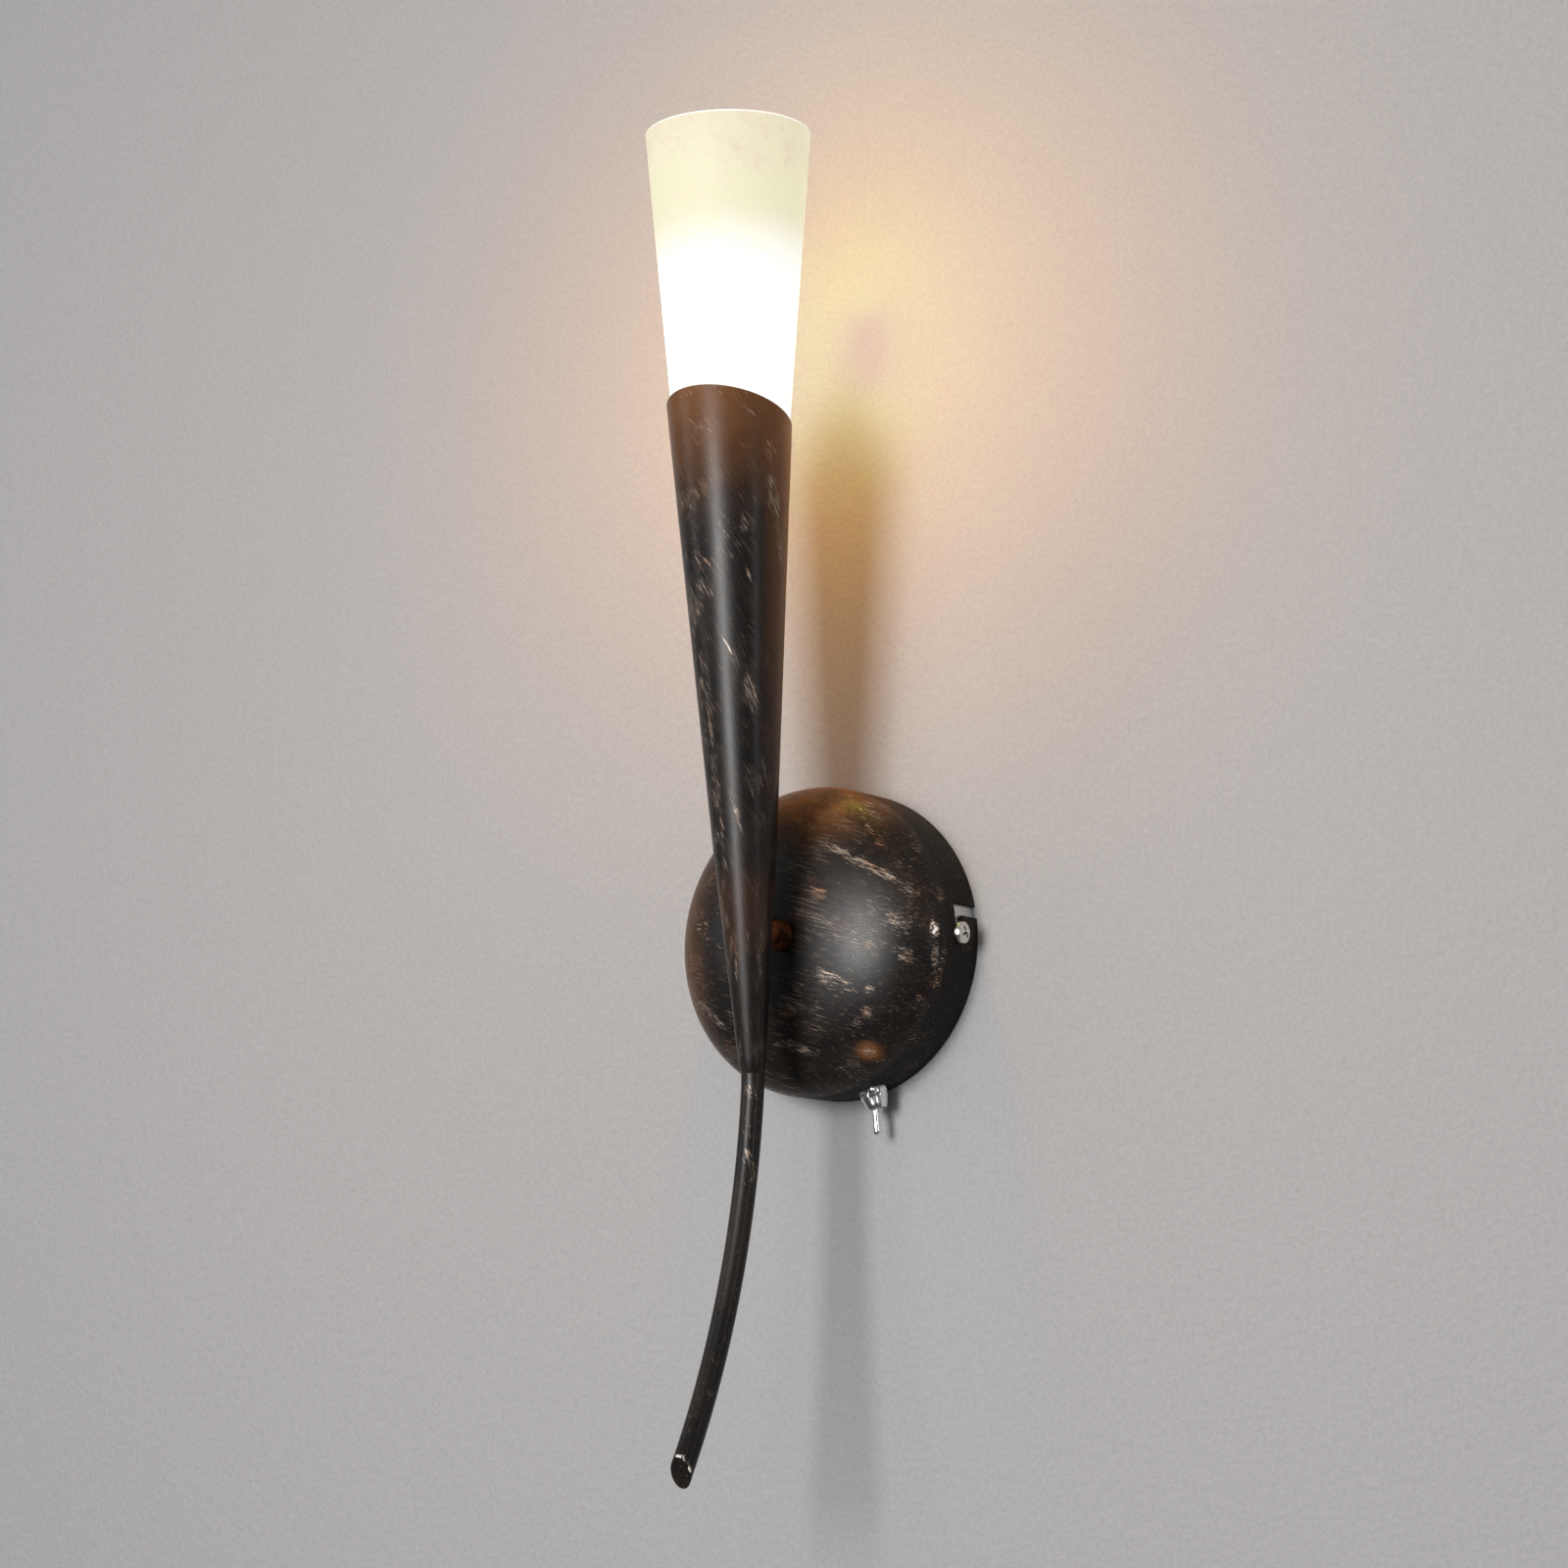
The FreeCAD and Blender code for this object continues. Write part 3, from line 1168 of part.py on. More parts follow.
def wire(label, points, radii):
    """An insulated wire along a bent path, in the wall frame."""
    path = bend_path(points, radii)
    along = (points[1] - points[0]).normalize()
    radius = value("{wire_radius}")
    ring = Part.Wire([Part.makeCircle(radius, points[0], along)])
    piece = DOC.addObject("Part::Feature", label)
    piece.Shape = path.makePipeShell([ring], True, True)
    swept = math.pi * radius**2 * path.Length
    ratio = piece.Shape.Volume / swept
    print(f"{label}: bend radii {radii}, volume ratio {ratio:.4f}")
    return node(piece, WALL)


def torch_point(across, height):
    """A point of the torch frame, seen from the wall frame."""
    lean = math.radians(value("{torch_lean}"))
    out = value("{torch_offset}") + height * math.sin(lean)
    return Vector(across, height * math.cos(lean), out)


def lead_point(sign, inset):
    """A point behind one solder lug, seen from the wall frame."""
    angle = math.radians(value("{switch_angle}"))
    reach = value(f"{{canopy_radius}} + {BODY_LOW} - {{lead_reach}}") - inset
    across = sign * value("{lead_spacing}") / 2
    x = reach * math.sin(angle) - across * math.cos(angle)
    up = -reach * math.cos(angle) - across * math.sin(angle)
    return Vector(x, up, value("{switch_height}"))


def lamp_side(sign):
    """The stretch of a lamp wire from its contact to the inside of the arm."""
    across = sign * value("{pin_spacing}") / 2
    pair = sign * value("{wire_pair}")
    front = value("{torch_offset} + {wire_drop}")
    contact = value(f"{PLATE_TOP} + {{contact_lift}}")
    return [
        torch_point(across, contact),
        torch_point(across, contact - value("{wire_fan}")),
        Vector(pair, value("{wire_rise}"), front),
        Vector(pair, 0, front),
    ]


def wires():
    """The four wires: lamp live and neutral, switch feed and earth."""
    bend = value("{wire_bend}")
    tight = value("{wire_tight_bend}")
    tail = value("{wire_tail}")
    pair = value("{wire_pair}")
    sweep = value("{wire_sweep}")
    depth = value(POLE_DEPTH)
    grip = value(f"{BLOCK_MIDDLE} - {{pole_length}} / 2 + 2 * {{pole_screw_inset}}")
    entry = value("{block_rise} - {wire_entry}")
    pitch = value("{pole_pitch}")

    live = lamp_side(1) + [Vector(pair, 0, depth - tight / 2), lead_point(1, tail), lead_point(1, 0)]
    wire("wire_lamp_live", live, [sweep, sweep, bend, tight, tight])
    neutral = lamp_side(-1) + [Vector(-pair, 0, depth), Vector(0, entry, depth), Vector(0, grip, depth)]
    wire("wire_lamp_neutral", neutral, [sweep, sweep, bend, tight, tight])
    low = value("{feed_low}")
    feed = [Vector(pitch, grip, depth), Vector(pitch, low, depth), lead_point(-1, tail), lead_point(-1, 0)]
    wire("wire_switch_feed", feed, [bend, tight])
    barrel = value("{lug_reach} - {wire_crimp}")
    dip = value("{earth_dip}")
    level = value(f"{LUG_LOW} + {{lug_thick}} - {{lug_barrel}}")
    earth = [
        Vector(-barrel, 0, level),
        Vector(-barrel - value("{earth_loop}"), 0, level),
        Vector(-barrel - value("{earth_return}"), -dip, depth + value("{earth_lift}")),
        Vector(-pitch, -dip, depth),
        Vector(-pitch, grip, depth),
    ]
    wire("wire_earth", earth, [tight, tight, tight])


def check_document():
    """Stop if any object failed or any sub-part is not a valid solid."""
    for item in DOC.Objects:
        if "Invalid" in item.State or "Error" in item.State:
            raise RuntimeError(f"{item.Name} failed: {item.State}")
    for piece in NODES:
        if piece.Shape.isNull() or not piece.Shape.isValid() or not piece.Shape.Solids:
            raise RuntimeError(f"{piece.Label} has no valid solid")


def write_parts():
    """Write each sub-part to its own STEP file."""
    os.makedirs("parts", exist_ok=True)
    for piece in NODES:
        piece.Shape.exportStep(f"parts/{piece.Label}.step")
        print(f"{piece.Label}: {len(piece.Shape.Solids)} solids, {piece.Shape.Volume:.1f} mm3")


def main():
    """Build the whole light and write its sub-parts."""
    fill_sheet()
    bracket_bar()
    canopy_screws()
    earth_terminal()
    canopy_shell()
    arm_tube()
    arm_washer()
    earth_lug()
    terminal_strap()
    arm_lock_nut()
    wire_bush()
    terminal_housing()
    terminal_poles()
    terminal_clamp_screws()
    terminal_fixing_screw()
    torch_cone()
    tail_rod()
    holder_plate()
    cushion_ring()
    lamp_holder()
    holder_contacts()
    holder_fasteners()
    switch_body()
    switch_bushing()
    switch_nuts()
    switch_lever()
    switch_leads()
    bulb_envelope()
    bulb_pins()
    bulb_filament()
    glass_shade()
    wires()
    DOC.recompute()
    check_document()
    write_parts()


main()
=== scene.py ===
"""Torch sconce: the dressed model.

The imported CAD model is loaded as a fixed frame. The pieces that show are rebuilt from bmesh
operators in the same places, and every other piece keeps its CAD shape and gets a finish of
its own. Run as a script; lengths are in metres, with the wall at y = 0 and the room towards -Y.
"""

import math

import bmesh
import bpy
from bpy.props import FloatProperty, FloatVectorProperty, IntProperty, PointerProperty
from mathutils import Matrix, Vector


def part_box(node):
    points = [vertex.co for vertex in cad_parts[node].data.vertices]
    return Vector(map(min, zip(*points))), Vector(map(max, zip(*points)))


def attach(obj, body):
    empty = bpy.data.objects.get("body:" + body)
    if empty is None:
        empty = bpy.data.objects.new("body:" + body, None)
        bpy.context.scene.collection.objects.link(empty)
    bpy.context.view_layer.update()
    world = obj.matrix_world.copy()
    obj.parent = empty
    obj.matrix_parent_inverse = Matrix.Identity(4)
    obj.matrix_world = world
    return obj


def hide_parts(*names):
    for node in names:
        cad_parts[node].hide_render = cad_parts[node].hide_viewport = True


bl_info = {
    "name": "Torch Sconce",
    "version": (1, 0, 0),
    "blender": (4, 5, 0),
    "location": "3D View > Sidebar > Sconce",
    "description": "Builds the finished torch sconce on its packed frame",
    "category": "Object",
}

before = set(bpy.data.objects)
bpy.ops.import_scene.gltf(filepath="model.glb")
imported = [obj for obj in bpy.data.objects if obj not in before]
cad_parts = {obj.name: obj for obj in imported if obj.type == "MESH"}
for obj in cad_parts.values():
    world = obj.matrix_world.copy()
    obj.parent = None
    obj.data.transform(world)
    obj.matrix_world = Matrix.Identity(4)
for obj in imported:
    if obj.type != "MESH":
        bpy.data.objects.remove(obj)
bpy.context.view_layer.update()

FULL_TURN = 2 * math.pi
MM = 0.001
TINY = 1e-7
STRIPE_PITCH = 4.2 * MM

# Faces round the torch and the shade, and round the rods.
CONE_STEPS = 112
ROD_STEPS = 48

# Radius and height in mm round the dress nut's section: six flats below, a knurled cone above.
NUT_PROFILE = (
    (3.02, 0.02), (4.80, 0.02), (4.80, 0.52), (4.80, 2.12), (4.728, 2.42), (4.30, 3.60),
    (3.72, 5.60), (3.30, 7.05), (3.05, 7.40), (2.70, 7.40), (2.45, 6.60), (1.90, 4.30),
    (3.02, 4.20),
)

# Heights of the rings that part the torch's long faces, the end of the ringed stretch, and the
# radius that the torch is unrolled at.
TORCH_RINGS = (-0.02, 0.0, 0.055, 0.085, 0.115, 0.145)
TORCH_RINGED = 0.15
TORCH_WRAP = 0.0185

# The fitted camera: focal length for a 36 mm frame, place, and its own right, up and back.
CAMERA_LENS = 88.03
CAMERA_PLACE = (0.75226352, -1.13128268, -0.16789433)
CAMERA_AXES = (
    (0.82352641, 0.56727794, 0),
    (0.0934932, -0.13572556, 0.9863253),
    (0.55952058, -0.81226493, -0.16481021),
)

# Softboxes: name, place, target, width and height, watts and colour.
NEUTRAL = (1.0, 0.99, 0.98)
SOFTBOXES = (
    ("key", (0.02, -1.45, 0.12), (0, 0, 0.06), (0.42, 0.50), 20.0, NEUTRAL),
    ("wide", (0.02, -1.50, 0.12), (0, 0, 0.06), (1.20, 1.20), 11.0, NEUTRAL),
    ("strip", (1.15, -0.26, 0.13), (0, -0.03, 0), (0.06, 0.30), 0.9, (1, 1, 1)),
    ("left", (-1.3, -0.9, 0.5), (0, 0, 0.05), (0.5, 0.9), 3.0, (0.97, 0.98, 1.0)),
    ("behind", (0.5, 1.6, 0.7), (0, 0, 0), (0.9, 0.9), 110.0, NEUTRAL),
)

# The lamp's light on the wall: name, place in the shade's own frame, watts and colour.
GLOWS = (
    ("glow_near", (0.003, 0.022, 0.072), 0.28, (0.72, 1.0, 0.04)),
    ("glow_left", (-0.013, 0.008, 0.068), 0.54, (1.0, 0.29, 0.0)),
    ("glow_right", (0.013, 0.008, 0.068), 0.54, (1.0, 0.29, 0.0)),
)


# ---- settings ----


def length(name, description, millimetres):
    """A length property with its default in millimetres."""
    return FloatProperty(
        name=name,
        description=description,
        default=millimetres * MM,
        min=0.0,
        precision=5,
        unit="LENGTH",
        subtype="DISTANCE",
    )


def angle(name, description, degrees):
    """An angle property with its default in degrees."""
    return FloatProperty(
        name=name,
        description=description,
        default=math.radians(degrees),
        unit="ROTATION",
        subtype="ANGLE",
    )


def colour(name, description, red, green, blue):
    """A colour property, in linear light."""
    return FloatVectorProperty(
        name=name,
        description=description,
        default=(red, green, blue),
        min=0.0,
        max=1.0,
        subtype="COLOR",
    )


class SconceSizes(bpy.types.PropertyGroup):
    """Sizes of the rebuilt pieces."""

    canopy_radius: length("Canopy radius", "Outer radius of the canopy's skirt", 55.0)
    canopy_skirt: length("Canopy skirt", "Straight depth of the skirt", 19.0)
    canopy_crown: length("Canopy crown", "Height of the dome above the skirt", 23.2)
    canopy_wall: length("Canopy wall", "Sheet thickness of the canopy", 1.0)
    canopy_lip: length("Canopy edge", "Rounding of the canopy's sheet edges", 0.16)
    slot_half: length("Slot half width", "Half the width of a bayonet slot", 2.15)
    slot_depth: length("Slot depth", "Middle of the bayonet slot's cross channel", 12.1)
    twist: angle("Twist", "Turn between the slot's entry and its seat", 8.9)
    arm_radius: length("Arm radius", "Outer radius of the arm tube", 5.5)
    arm_thread: length("Arm thread", "Radius of the arm's inner thread", 5.0)
    arm_bore: length("Arm bore", "Wire bore of the arm", 3.5)
    torch_offset: length("Torch offset", "Distance of the torch from the wall at the arm", 61.2)
    torch_lean: angle("Torch lean", "Outward lean of the torch", 3.55)
    torch_wall: length("Torch wall", "Sheet thickness of the torch", 0.5)
    torch_waist: length("Torch waist", "Height where the taper changes", 26.0)
    torch_waist_radius: length("Waist radius", "Outer radius at the waist", 10.85)
    torch_low: length("Torch low end", "Depth of the taper's lower end", 44.2)
    torch_low_radius: length("Low radius", "Outer radius at the lower end", 4.86)
    torch_top: length("Torch top", "Height where the taper would end uncut", 192.0)
    torch_top_radius: length("Top radius", "Outer radius there", 22.7)
    rim_height: length("Rim height", "Height of the slanted rim on the axis", 179.1)
    rim_slant: angle("Rim slant", "Slant of the rim", 19.3)
    neck_reach: length("Neck", "Length of the swaged neck", 5.2)
    tail_radius: length("Tail radius", "Radius of the tail rod", 4.0)
    tail_first_bend: length("First bend", "Radius of the tail's first bend", 45.0)
    tail_first_turn: angle("First turn", "Turn of the first bend", 8.3)
    tail_sweep: length("Sweep", "Radius of the long sweep", 300.0)
    tail_sweep_turn: angle("Sweep turn", "Turn of the long sweep", 25.8)
    tail_cut: angle("Tail cut", "Slant of the end face", 13.4)
    shade_lean: angle("Shade lean", "Lean of the shade from upright", 1.325743)
    shade_foot: length("Shade foot", "Outer radius of the shade's foot", 18.353)
    shade_mouth: length("Shade mouth", "Outer radius of the shade's mouth", 29.173)
    shade_length: length("Shade length", "Length of the shade", 131.5)
    shade_wall: length("Shade wall", "Glass wall of the shade", 2.5)
    screw_head: length("Screw head", "Head radius of the canopy screws", 4.0)
    screw_tall: length("Screw head height", "Height of the pan head", 2.6)
    screw_shaft: length("Screw shaft", "Thread radius of the canopy screws", 2.0)
    screw_reach: length("Screw reach", "Length of the shaft below the head", 7.5)
    recess_span: length("Recess span", "Reach of the cross recess from its middle", 2.3)
    recess_half: length("Recess half width", "Half the width of an arm of the recess", 0.45)
    recess_depth: length("Recess depth", "Depth of the cross recess", 1.4)
    recess_turn: angle("Recess turn", "Turn of the cross recess about the screw", 28.64789)
    switch_place: angle("Switch place", "Place of the switch from the skirt's lowest point", 18.0)
    switch_depth: length("Switch depth", "Distance of the switch's axis from the wall", 9.2)
    lever_pivot: length("Lever pivot", "Height of the lever's pivot above the skirt", 2.0)
    lever_length: length("Lever length", "Length of the lever", 14.2)
    lever_tilt: angle("Lever tilt", "Tilt of the lever at rest", 12.5)
    wall_opening: length("Wall opening", "Opening of the stage wall behind the canopy", 46.0)
    steps: IntProperty(
        name="Round steps", description="Faces round the canopy", default=144, min=24
    )


class SconceColours(bpy.types.PropertyGroup):
    """Colours of the finishes."""

    paint: colour("Paint", "Near-black satin paint", 0.0065, 0.0056, 0.0052)
    paint_soft: colour("Paint, faded", "Browner places in the paint", 0.0150, 0.0105, 0.0080)
    # Warm: rubbed brown paint, and also a painted glow of the lamp's warm light near the torch's
    # rim, down its right side and on the canopy's crown.
    warm_rub_and_glow: colour("Paint, warm", "Rubbed brown near the rim and the crown", 0.23, 0.088, 0.027)
    # Chip: bare metal, which also paints glints on the canopy's skirt and on the rim of the tail's
    # end.
    chip_and_glint: colour("Chip", "Bare metal of a chipped place", 0.92, 0.89, 0.84)
    dull_copper: colour("Dull copper", "Greyer rubbed marks", 0.27, 0.215, 0.175)
    copper: colour("Copper", "Rubbed copper marks", 0.36, 0.155, 0.062)
    pale_copper: colour("Pale copper", "Bright ends of the rubbed marks", 0.58, 0.43, 0.31)
    stud: colour("Arm copper", "Copper-brown finish of the arm", 0.27, 0.080, 0.026)
    zinc: colour("Zinc", "Zinc plating", 0.62, 0.64, 0.65)
    nickel: colour("Nickel", "Nickel plating", 0.74, 0.71, 0.67)
    chrome: colour("Chrome", "Polished chrome", 0.83, 0.84, 0.86)
    brass: colour("Brass", "Brass of the terminal poles", 0.78, 0.55, 0.24)
    tin: colour("Tin", "Tinned copper", 0.70, 0.69, 0.66)
    tungsten: colour("Tungsten", "Filament wire", 0.28, 0.27, 0.27)
    white_plastic: colour("White plastic", "Terminal housing and bushes", 0.80, 0.80, 0.77)
    red_plastic: colour("Red plastic", "Switch body", 0.48, 0.035, 0.025)
    silicone: colour("Silicone", "Cushion ring", 0.72, 0.70, 0.66)
    ceramic: colour("Ceramic", "Lamp holder", 0.84, 0.82, 0.77)
    glass: colour("Glass", "Clear glass of the lamp", 0.96, 0.97, 0.96)
    shade: colour("Shade glass", "Frosted glass of the shade", 0.105, 0.100, 0.083)
    glass_haze: colour("Glass haze", "Faint haze in the lamp's glass", 0.88, 0.90, 0.88)
    shade_stain: colour("Shade stain", "Clouded places of the frosted glass", 0.150, 0.125, 0.105)
    shade_lit: colour("Shade, lit low", "Light from the lower shade", 1.0, 0.985, 0.94)
    shade_glow: colour("Shade, lit high", "Light from the upper shade", 0.75, 0.72, 0.50)
    shade_cloud: colour("Shade clouds", "Pinkish clouds in the upper shade", 0.70, 0.59, 0.45)
    brown_wire: colour("Brown wire", "Live wires", 0.15, 0.055, 0.025)
    blue_wire: colour("Blue wire", "Neutral wire", 0.03, 0.11, 0.42)
    green_wire: colour("Green wire", "Earth wire", 0.05, 0.30, 0.07)
    yellow_wire: colour("Yellow stripe", "Stripe of the earth wire", 0.78, 0.62, 0.05)
    wall: colour("Wall", "Pale wall behind the sconce", 0.304, 0.299, 0.299)


def sizes():
    """The scene's size settings."""
    return bpy.context.scene.sconce_sizes


def colours():
    """The scene's colour settings."""
    return bpy.context.scene.sconce_colours


# ---- finishes ----


class Signal:
    """One output socket of a material; arithmetic on it adds Math nodes."""

    def __init__(self, recipe, socket):
        self.recipe = recipe
        self.socket = socket

    def maths(self, operation, *values):
        """A Math node on some values."""
        return self.recipe.node("ShaderNodeMath", {"operation": operation}, dict(enumerate(values)))

    def __add__(self, other):
        return self.maths("ADD", self, other)

    def __sub__(self, other):
        return self.maths("SUBTRACT", self, other)

    def __rsub__(self, other):
        return self.maths("SUBTRACT", other, self)

    def __mul__(self, other):
        return self.maths("MULTIPLY", self, other)

    def larger(self, other):
        """The larger of this and another value."""
        return self.maths("MAXIMUM", self, other)

    def smaller(self, other):
        """The smaller of this and another value."""
        return self.maths("MINIMUM", self, other)

    __radd__ = __add__
    __rmul__ = __mul__


class Recipe:
    """A material being written: its nodes, its pattern helpers and its surface."""

    def __init__(self, name):
        self.material = bpy.data.materials.new(name)
        self.material.use_nodes = True
        self.tree = self.material.node_tree
        self.tree.nodes.clear()

    def node(self, kind, settings=None, inputs=None, output=0):
        """Add a node: its settings first, then the values or links of its sockets."""
        made = self.tree.nodes.new(kind)
        for key, setting in (settings or {}).items():
            setattr(made, key, setting)
        for key, given in (inputs or {}).items():
            socket = made.inputs[key]
            if isinstance(given, Signal):
                self.tree.links.new(given.socket, socket)
            else:
                socket.default_value = given
        return Signal(self, made.outputs[output]) if made.outputs else None

    def place(self, output="Object"):
        """The coordinates that a pattern is laid out in."""
        return self.node("ShaderNodeTexCoord", output=output)

    def turned(self, at, middle=(0, 0, 0), turn=(0, 0, 0), size=(1, 1, 1)):
        """Coordinates counted from a middle, along turned axes, in units of a size."""
        inputs = {"Vector": at, "Location": middle, "Rotation": turn, "Scale": size}
        return self.node("ShaderNodeMapping", {"vector_type": "TEXTURE"}, inputs)

    def split(self, at, axis):
        """One coordinate: 0, 1 or 2 for x, y or z."""
        return self.node("ShaderNodeSeparateXYZ", inputs={"Vector": at}, output=axis)

    def noise(self, at, size=1.0, detail=2.0, roughness=0.5, swirl=0.0):
        """Noise from 0 to 1 whose blots are about size long."""
        inputs = {"Vector": at, "Scale": 1 / size, "Detail": detail}
        inputs |= {"Roughness": roughness, "Distortion": swirl}
        return self.node("ShaderNodeTexNoise", inputs=inputs)

    def step(self, value, low, high, start=0.0, end=1.0):
        """Smooth step from start to end as the value goes from low to high."""
        inputs = {"Value": value, "From Min": low, "From Max": high, "To Min": start, "To Max": end}
        return self.node("ShaderNodeMapRange", {"interpolation_type": "SMOOTHSTEP"}, inputs)

    def mix(self, factor, first, second):
        """Blend two colours."""
        pair = {6: self.tint(first), 7: self.tint(second), 0: factor}
        return self.node("ShaderNodeMix", {"data_type": "RGBA"}, pair, output=2)

    @staticmethod
    def tint(given):
        """A colour as a colour socket takes it."""
        return given if isinstance(given, Signal) else (*tuple(given)[:3], 1.0)

    def vector(self, operation, *values, output="Value"):
        """A Vector Math node on some values."""
        inputs = dict(enumerate(values))
        return self.node("ShaderNodeVectorMath", {"operation": operation}, inputs, output)

    def spot(self, at, middle, turn, size):
        """An elliptical patch with soft edges."""
        away = self.vector("LENGTH", self.turned(at, middle, turn, size))
        return self.step(away, 1.0, 0.35)

    def bump(self, height, distance, strength=1.0, below=None):
        """Relief from a height, in metres."""
        inputs = {"Height": height, "Distance": distance, "Strength": strength}
        if below is not None:
            inputs["Normal"] = below
        return self.node("ShaderNodeBump", inputs=inputs)

    def shader(self, **inputs):
        """A principled shader; its sockets are named with underscores."""
        named = {}
        for key, given in inputs.items():
            name = key.replace("_", " ")
            named[name] = self.tint(given) if "Color" in name else given
        return self.node("ShaderNodeBsdfPrincipled", inputs=named)

    def finish(self, **inputs):
        """Close the material with one principled shader."""
        self.node("ShaderNodeOutputMaterial", inputs={"Surface": self.shader(**inputs)})
        return self.material


def scaled(tint, factor):
    """A colour made darker or lighter."""
    return [part * factor for part in tint]


def aged_paint(at, spots, ways, across, zone, warm_rub_and_glow, age=1.0, matt=0.0):
    """Near-black satin paint, dry-brushed with copper.

    Spots are worn places, and the strongest of them paint glints as bare metal; ways are the two
    directions of the brush, and across the widths of a mark along the second and third axis, as
    shares of its thin width. Zone adds wear, and the warm mask adds a brown tone that is partly
    rubbed paint and partly a painted glow of the lamp's light. Age scales the faint hairlines
    between the worn places, and matt adds roughness.
    """
    recipe, where = at
    tints = colours()

    def marks_along(way, long, thin, detail):
        """Noise drawn out along one direction of the brush."""
        size = (long, thin * across[0], thin * across[1])
        return recipe.noise(recipe.turned(where, turn=way, size=size), detail=detail, roughness=0.6)

    # The paint itself, with browner places.
    broad = recipe.noise(where, 0.030, detail=3.0, roughness=0.6)
    ground = recipe.mix(recipe.step(broad, 0.42, 0.70), tints.paint, tints.paint_soft)

    # How worn each place is.
    patches = recipe.step(recipe.noise(where, 0.016, detail=3.0, roughness=0.6), 0.50, 0.66)
    worn = zone
    for middle, turn, size, strength in spots:
        worn = worn.larger(recipe.spot(where, middle, turn, size) * strength)
    combed = recipe.turned(where, turn=ways[0], size=(0.005, 0.0011, 0.0011))
    worn = worn * recipe.step(recipe.noise(combed, detail=2.0), 0.36, 0.60, 0.50, 1.10)

    # The marks of the brush: more of them, and brighter, where it is worn.
    grain = recipe.noise(where, 0.00038, detail=2.0, roughness=0.6)
    coarse = marks_along(ways[0], 0.0090, 0.00032, 3.0)
    fine = marks_along(ways[1], 0.0065, 0.00026, 2.0)
    hair = marks_along(ways[0], 0.0140, 0.00018, 1.0)
    brushed = recipe.step(coarse + worn * 0.21, 0.675, 0.775)
    brushed = brushed.larger(recipe.step(fine + worn * 0.17, 0.67, 0.78) * 0.80)
    bright = brushed * recipe.step(grain + worn * 0.08, 0.38, 0.58, 0.15, 1.0)
    faint = recipe.step(hair + patches * 0.07 + worn * 0.10, 0.62, 0.72)
    faint = faint * (patches * 0.50 + 0.22) * age
    faint = faint * recipe.step(grain, 0.36, 0.60, 0.2, 1.0)
    marks = (bright * 0.85).larger(faint)

    # The ground, tinted by rubbed brown and by a painted glow of the lamp's light, and the metal
    # that shows in the marks.
    glow = recipe.mix(warm_rub_and_glow, ground, tints.warm_rub_and_glow)
    tone = recipe.step(recipe.noise(where, 0.020, detail=2.0) + warm_rub_and_glow * 0.28, 0.53, 0.66)
    metal = recipe.mix(tone, tints.dull_copper, tints.copper)
    metal = recipe.mix(recipe.step(coarse + fine, 1.04, 1.32), metal, tints.pale_copper)
    # Bare metal where the wear is strongest; these places also paint glints on the canopy's skirt
    # and the tail's end rim.
    metal = recipe.mix(recipe.step(worn, 1.2, 1.5), metal, tints.chip_and_glint)
    surface = recipe.mix(marks, glow, metal)

    # Gloss and relief.
    rough = 0.245 + recipe.step(broad, 0.3, 0.7) * 0.05
    rough = rough + recipe.step(grain, 0.35, 0.65) * 0.13 + matt
    texture = recipe.bump(recipe.noise(where, 0.0009, detail=3.0, roughness=0.7), 0.00005, 0.45)
    relief = recipe.bump(1 - marks, 0.00003, 0.6, texture)
    return recipe.finish(
        Base_Color=surface,
        Metallic=marks * 0.40,
        Roughness=rough,
        Specular_IOR_Level=0.19,
        Normal=relief,
    )


def plated(name, tint, rough, grain=0.0009, brushed=False, dull=0.14):
    """Plated or turned metal: uneven gloss, faint stains and a fine tool grain."""
    recipe = Recipe(name)
    where = recipe.place()
    if brushed:
        lines = recipe.noise(recipe.turned(where, size=(0.012, 0.00025, 0.00025)), detail=2.0)
    else:
        lines = recipe.noise(where, grain, detail=2.0)
    stains = recipe.step(recipe.noise(where, 0.006, detail=3.0, roughness=0.6), 0.45, 0.75)
    tone = recipe.mix(stains * 0.8 + lines * 0.2, tint, scaled(tint, 1 - dull))
    return recipe.finish(
        Base_Color=tone,
        Metallic=1.0,
        Roughness=rough + lines * (0.10 + rough * 0.3) + stains * 0.06,
        Normal=recipe.bump(lines, 0.00002, 0.35),
    )


def moulded(name, tint, rough, grain=0.0007, depth=0.00003, coat=0.0, mottle=0.10):
    """Plastic, rubber or ceramic: a faint mottle and a fine moulded grain."""
    recipe = Recipe(name)
    where = recipe.place()
    cloud = recipe.noise(where, 0.007, detail=3.0)
    fine = recipe.noise(where, grain, detail=2.0)
    return recipe.finish(
        Base_Color=recipe.mix(recipe.step(cloud, 0.35, 0.7), tint, scaled(tint, 1 - mottle)),
        Roughness=rough + fine * 0.12,
        Coat_Weight=coat,
        Normal=recipe.bump(fine, depth, 0.5),
    )


def insulated(name, tint, stripe=None):
    """Wire insulation, with a second colour in twisted stripes on the earth wire."""
    recipe = Recipe(name)
    where = recipe.place()
    fine = recipe.noise(where, 0.0005, detail=2.0)
    body = recipe.mix(recipe.noise(where, 0.004), tint, scaled(tint, 0.8))
    if stripe is not None:
        slope = recipe.vector("DOT_PRODUCT", where, (1.0, 0.7, 1.1))
        turns = slope * (FULL_TURN / STRIPE_PITCH)
        body = recipe.mix(recipe.step(turns.maths("SINE", turns), -0.15, 0.15), body, stripe)
    return recipe.finish(
        Base_Color=body, Roughness=0.42 + fine * 0.15, Normal=recipe.bump(fine, 0.00002, 0.4)
    )


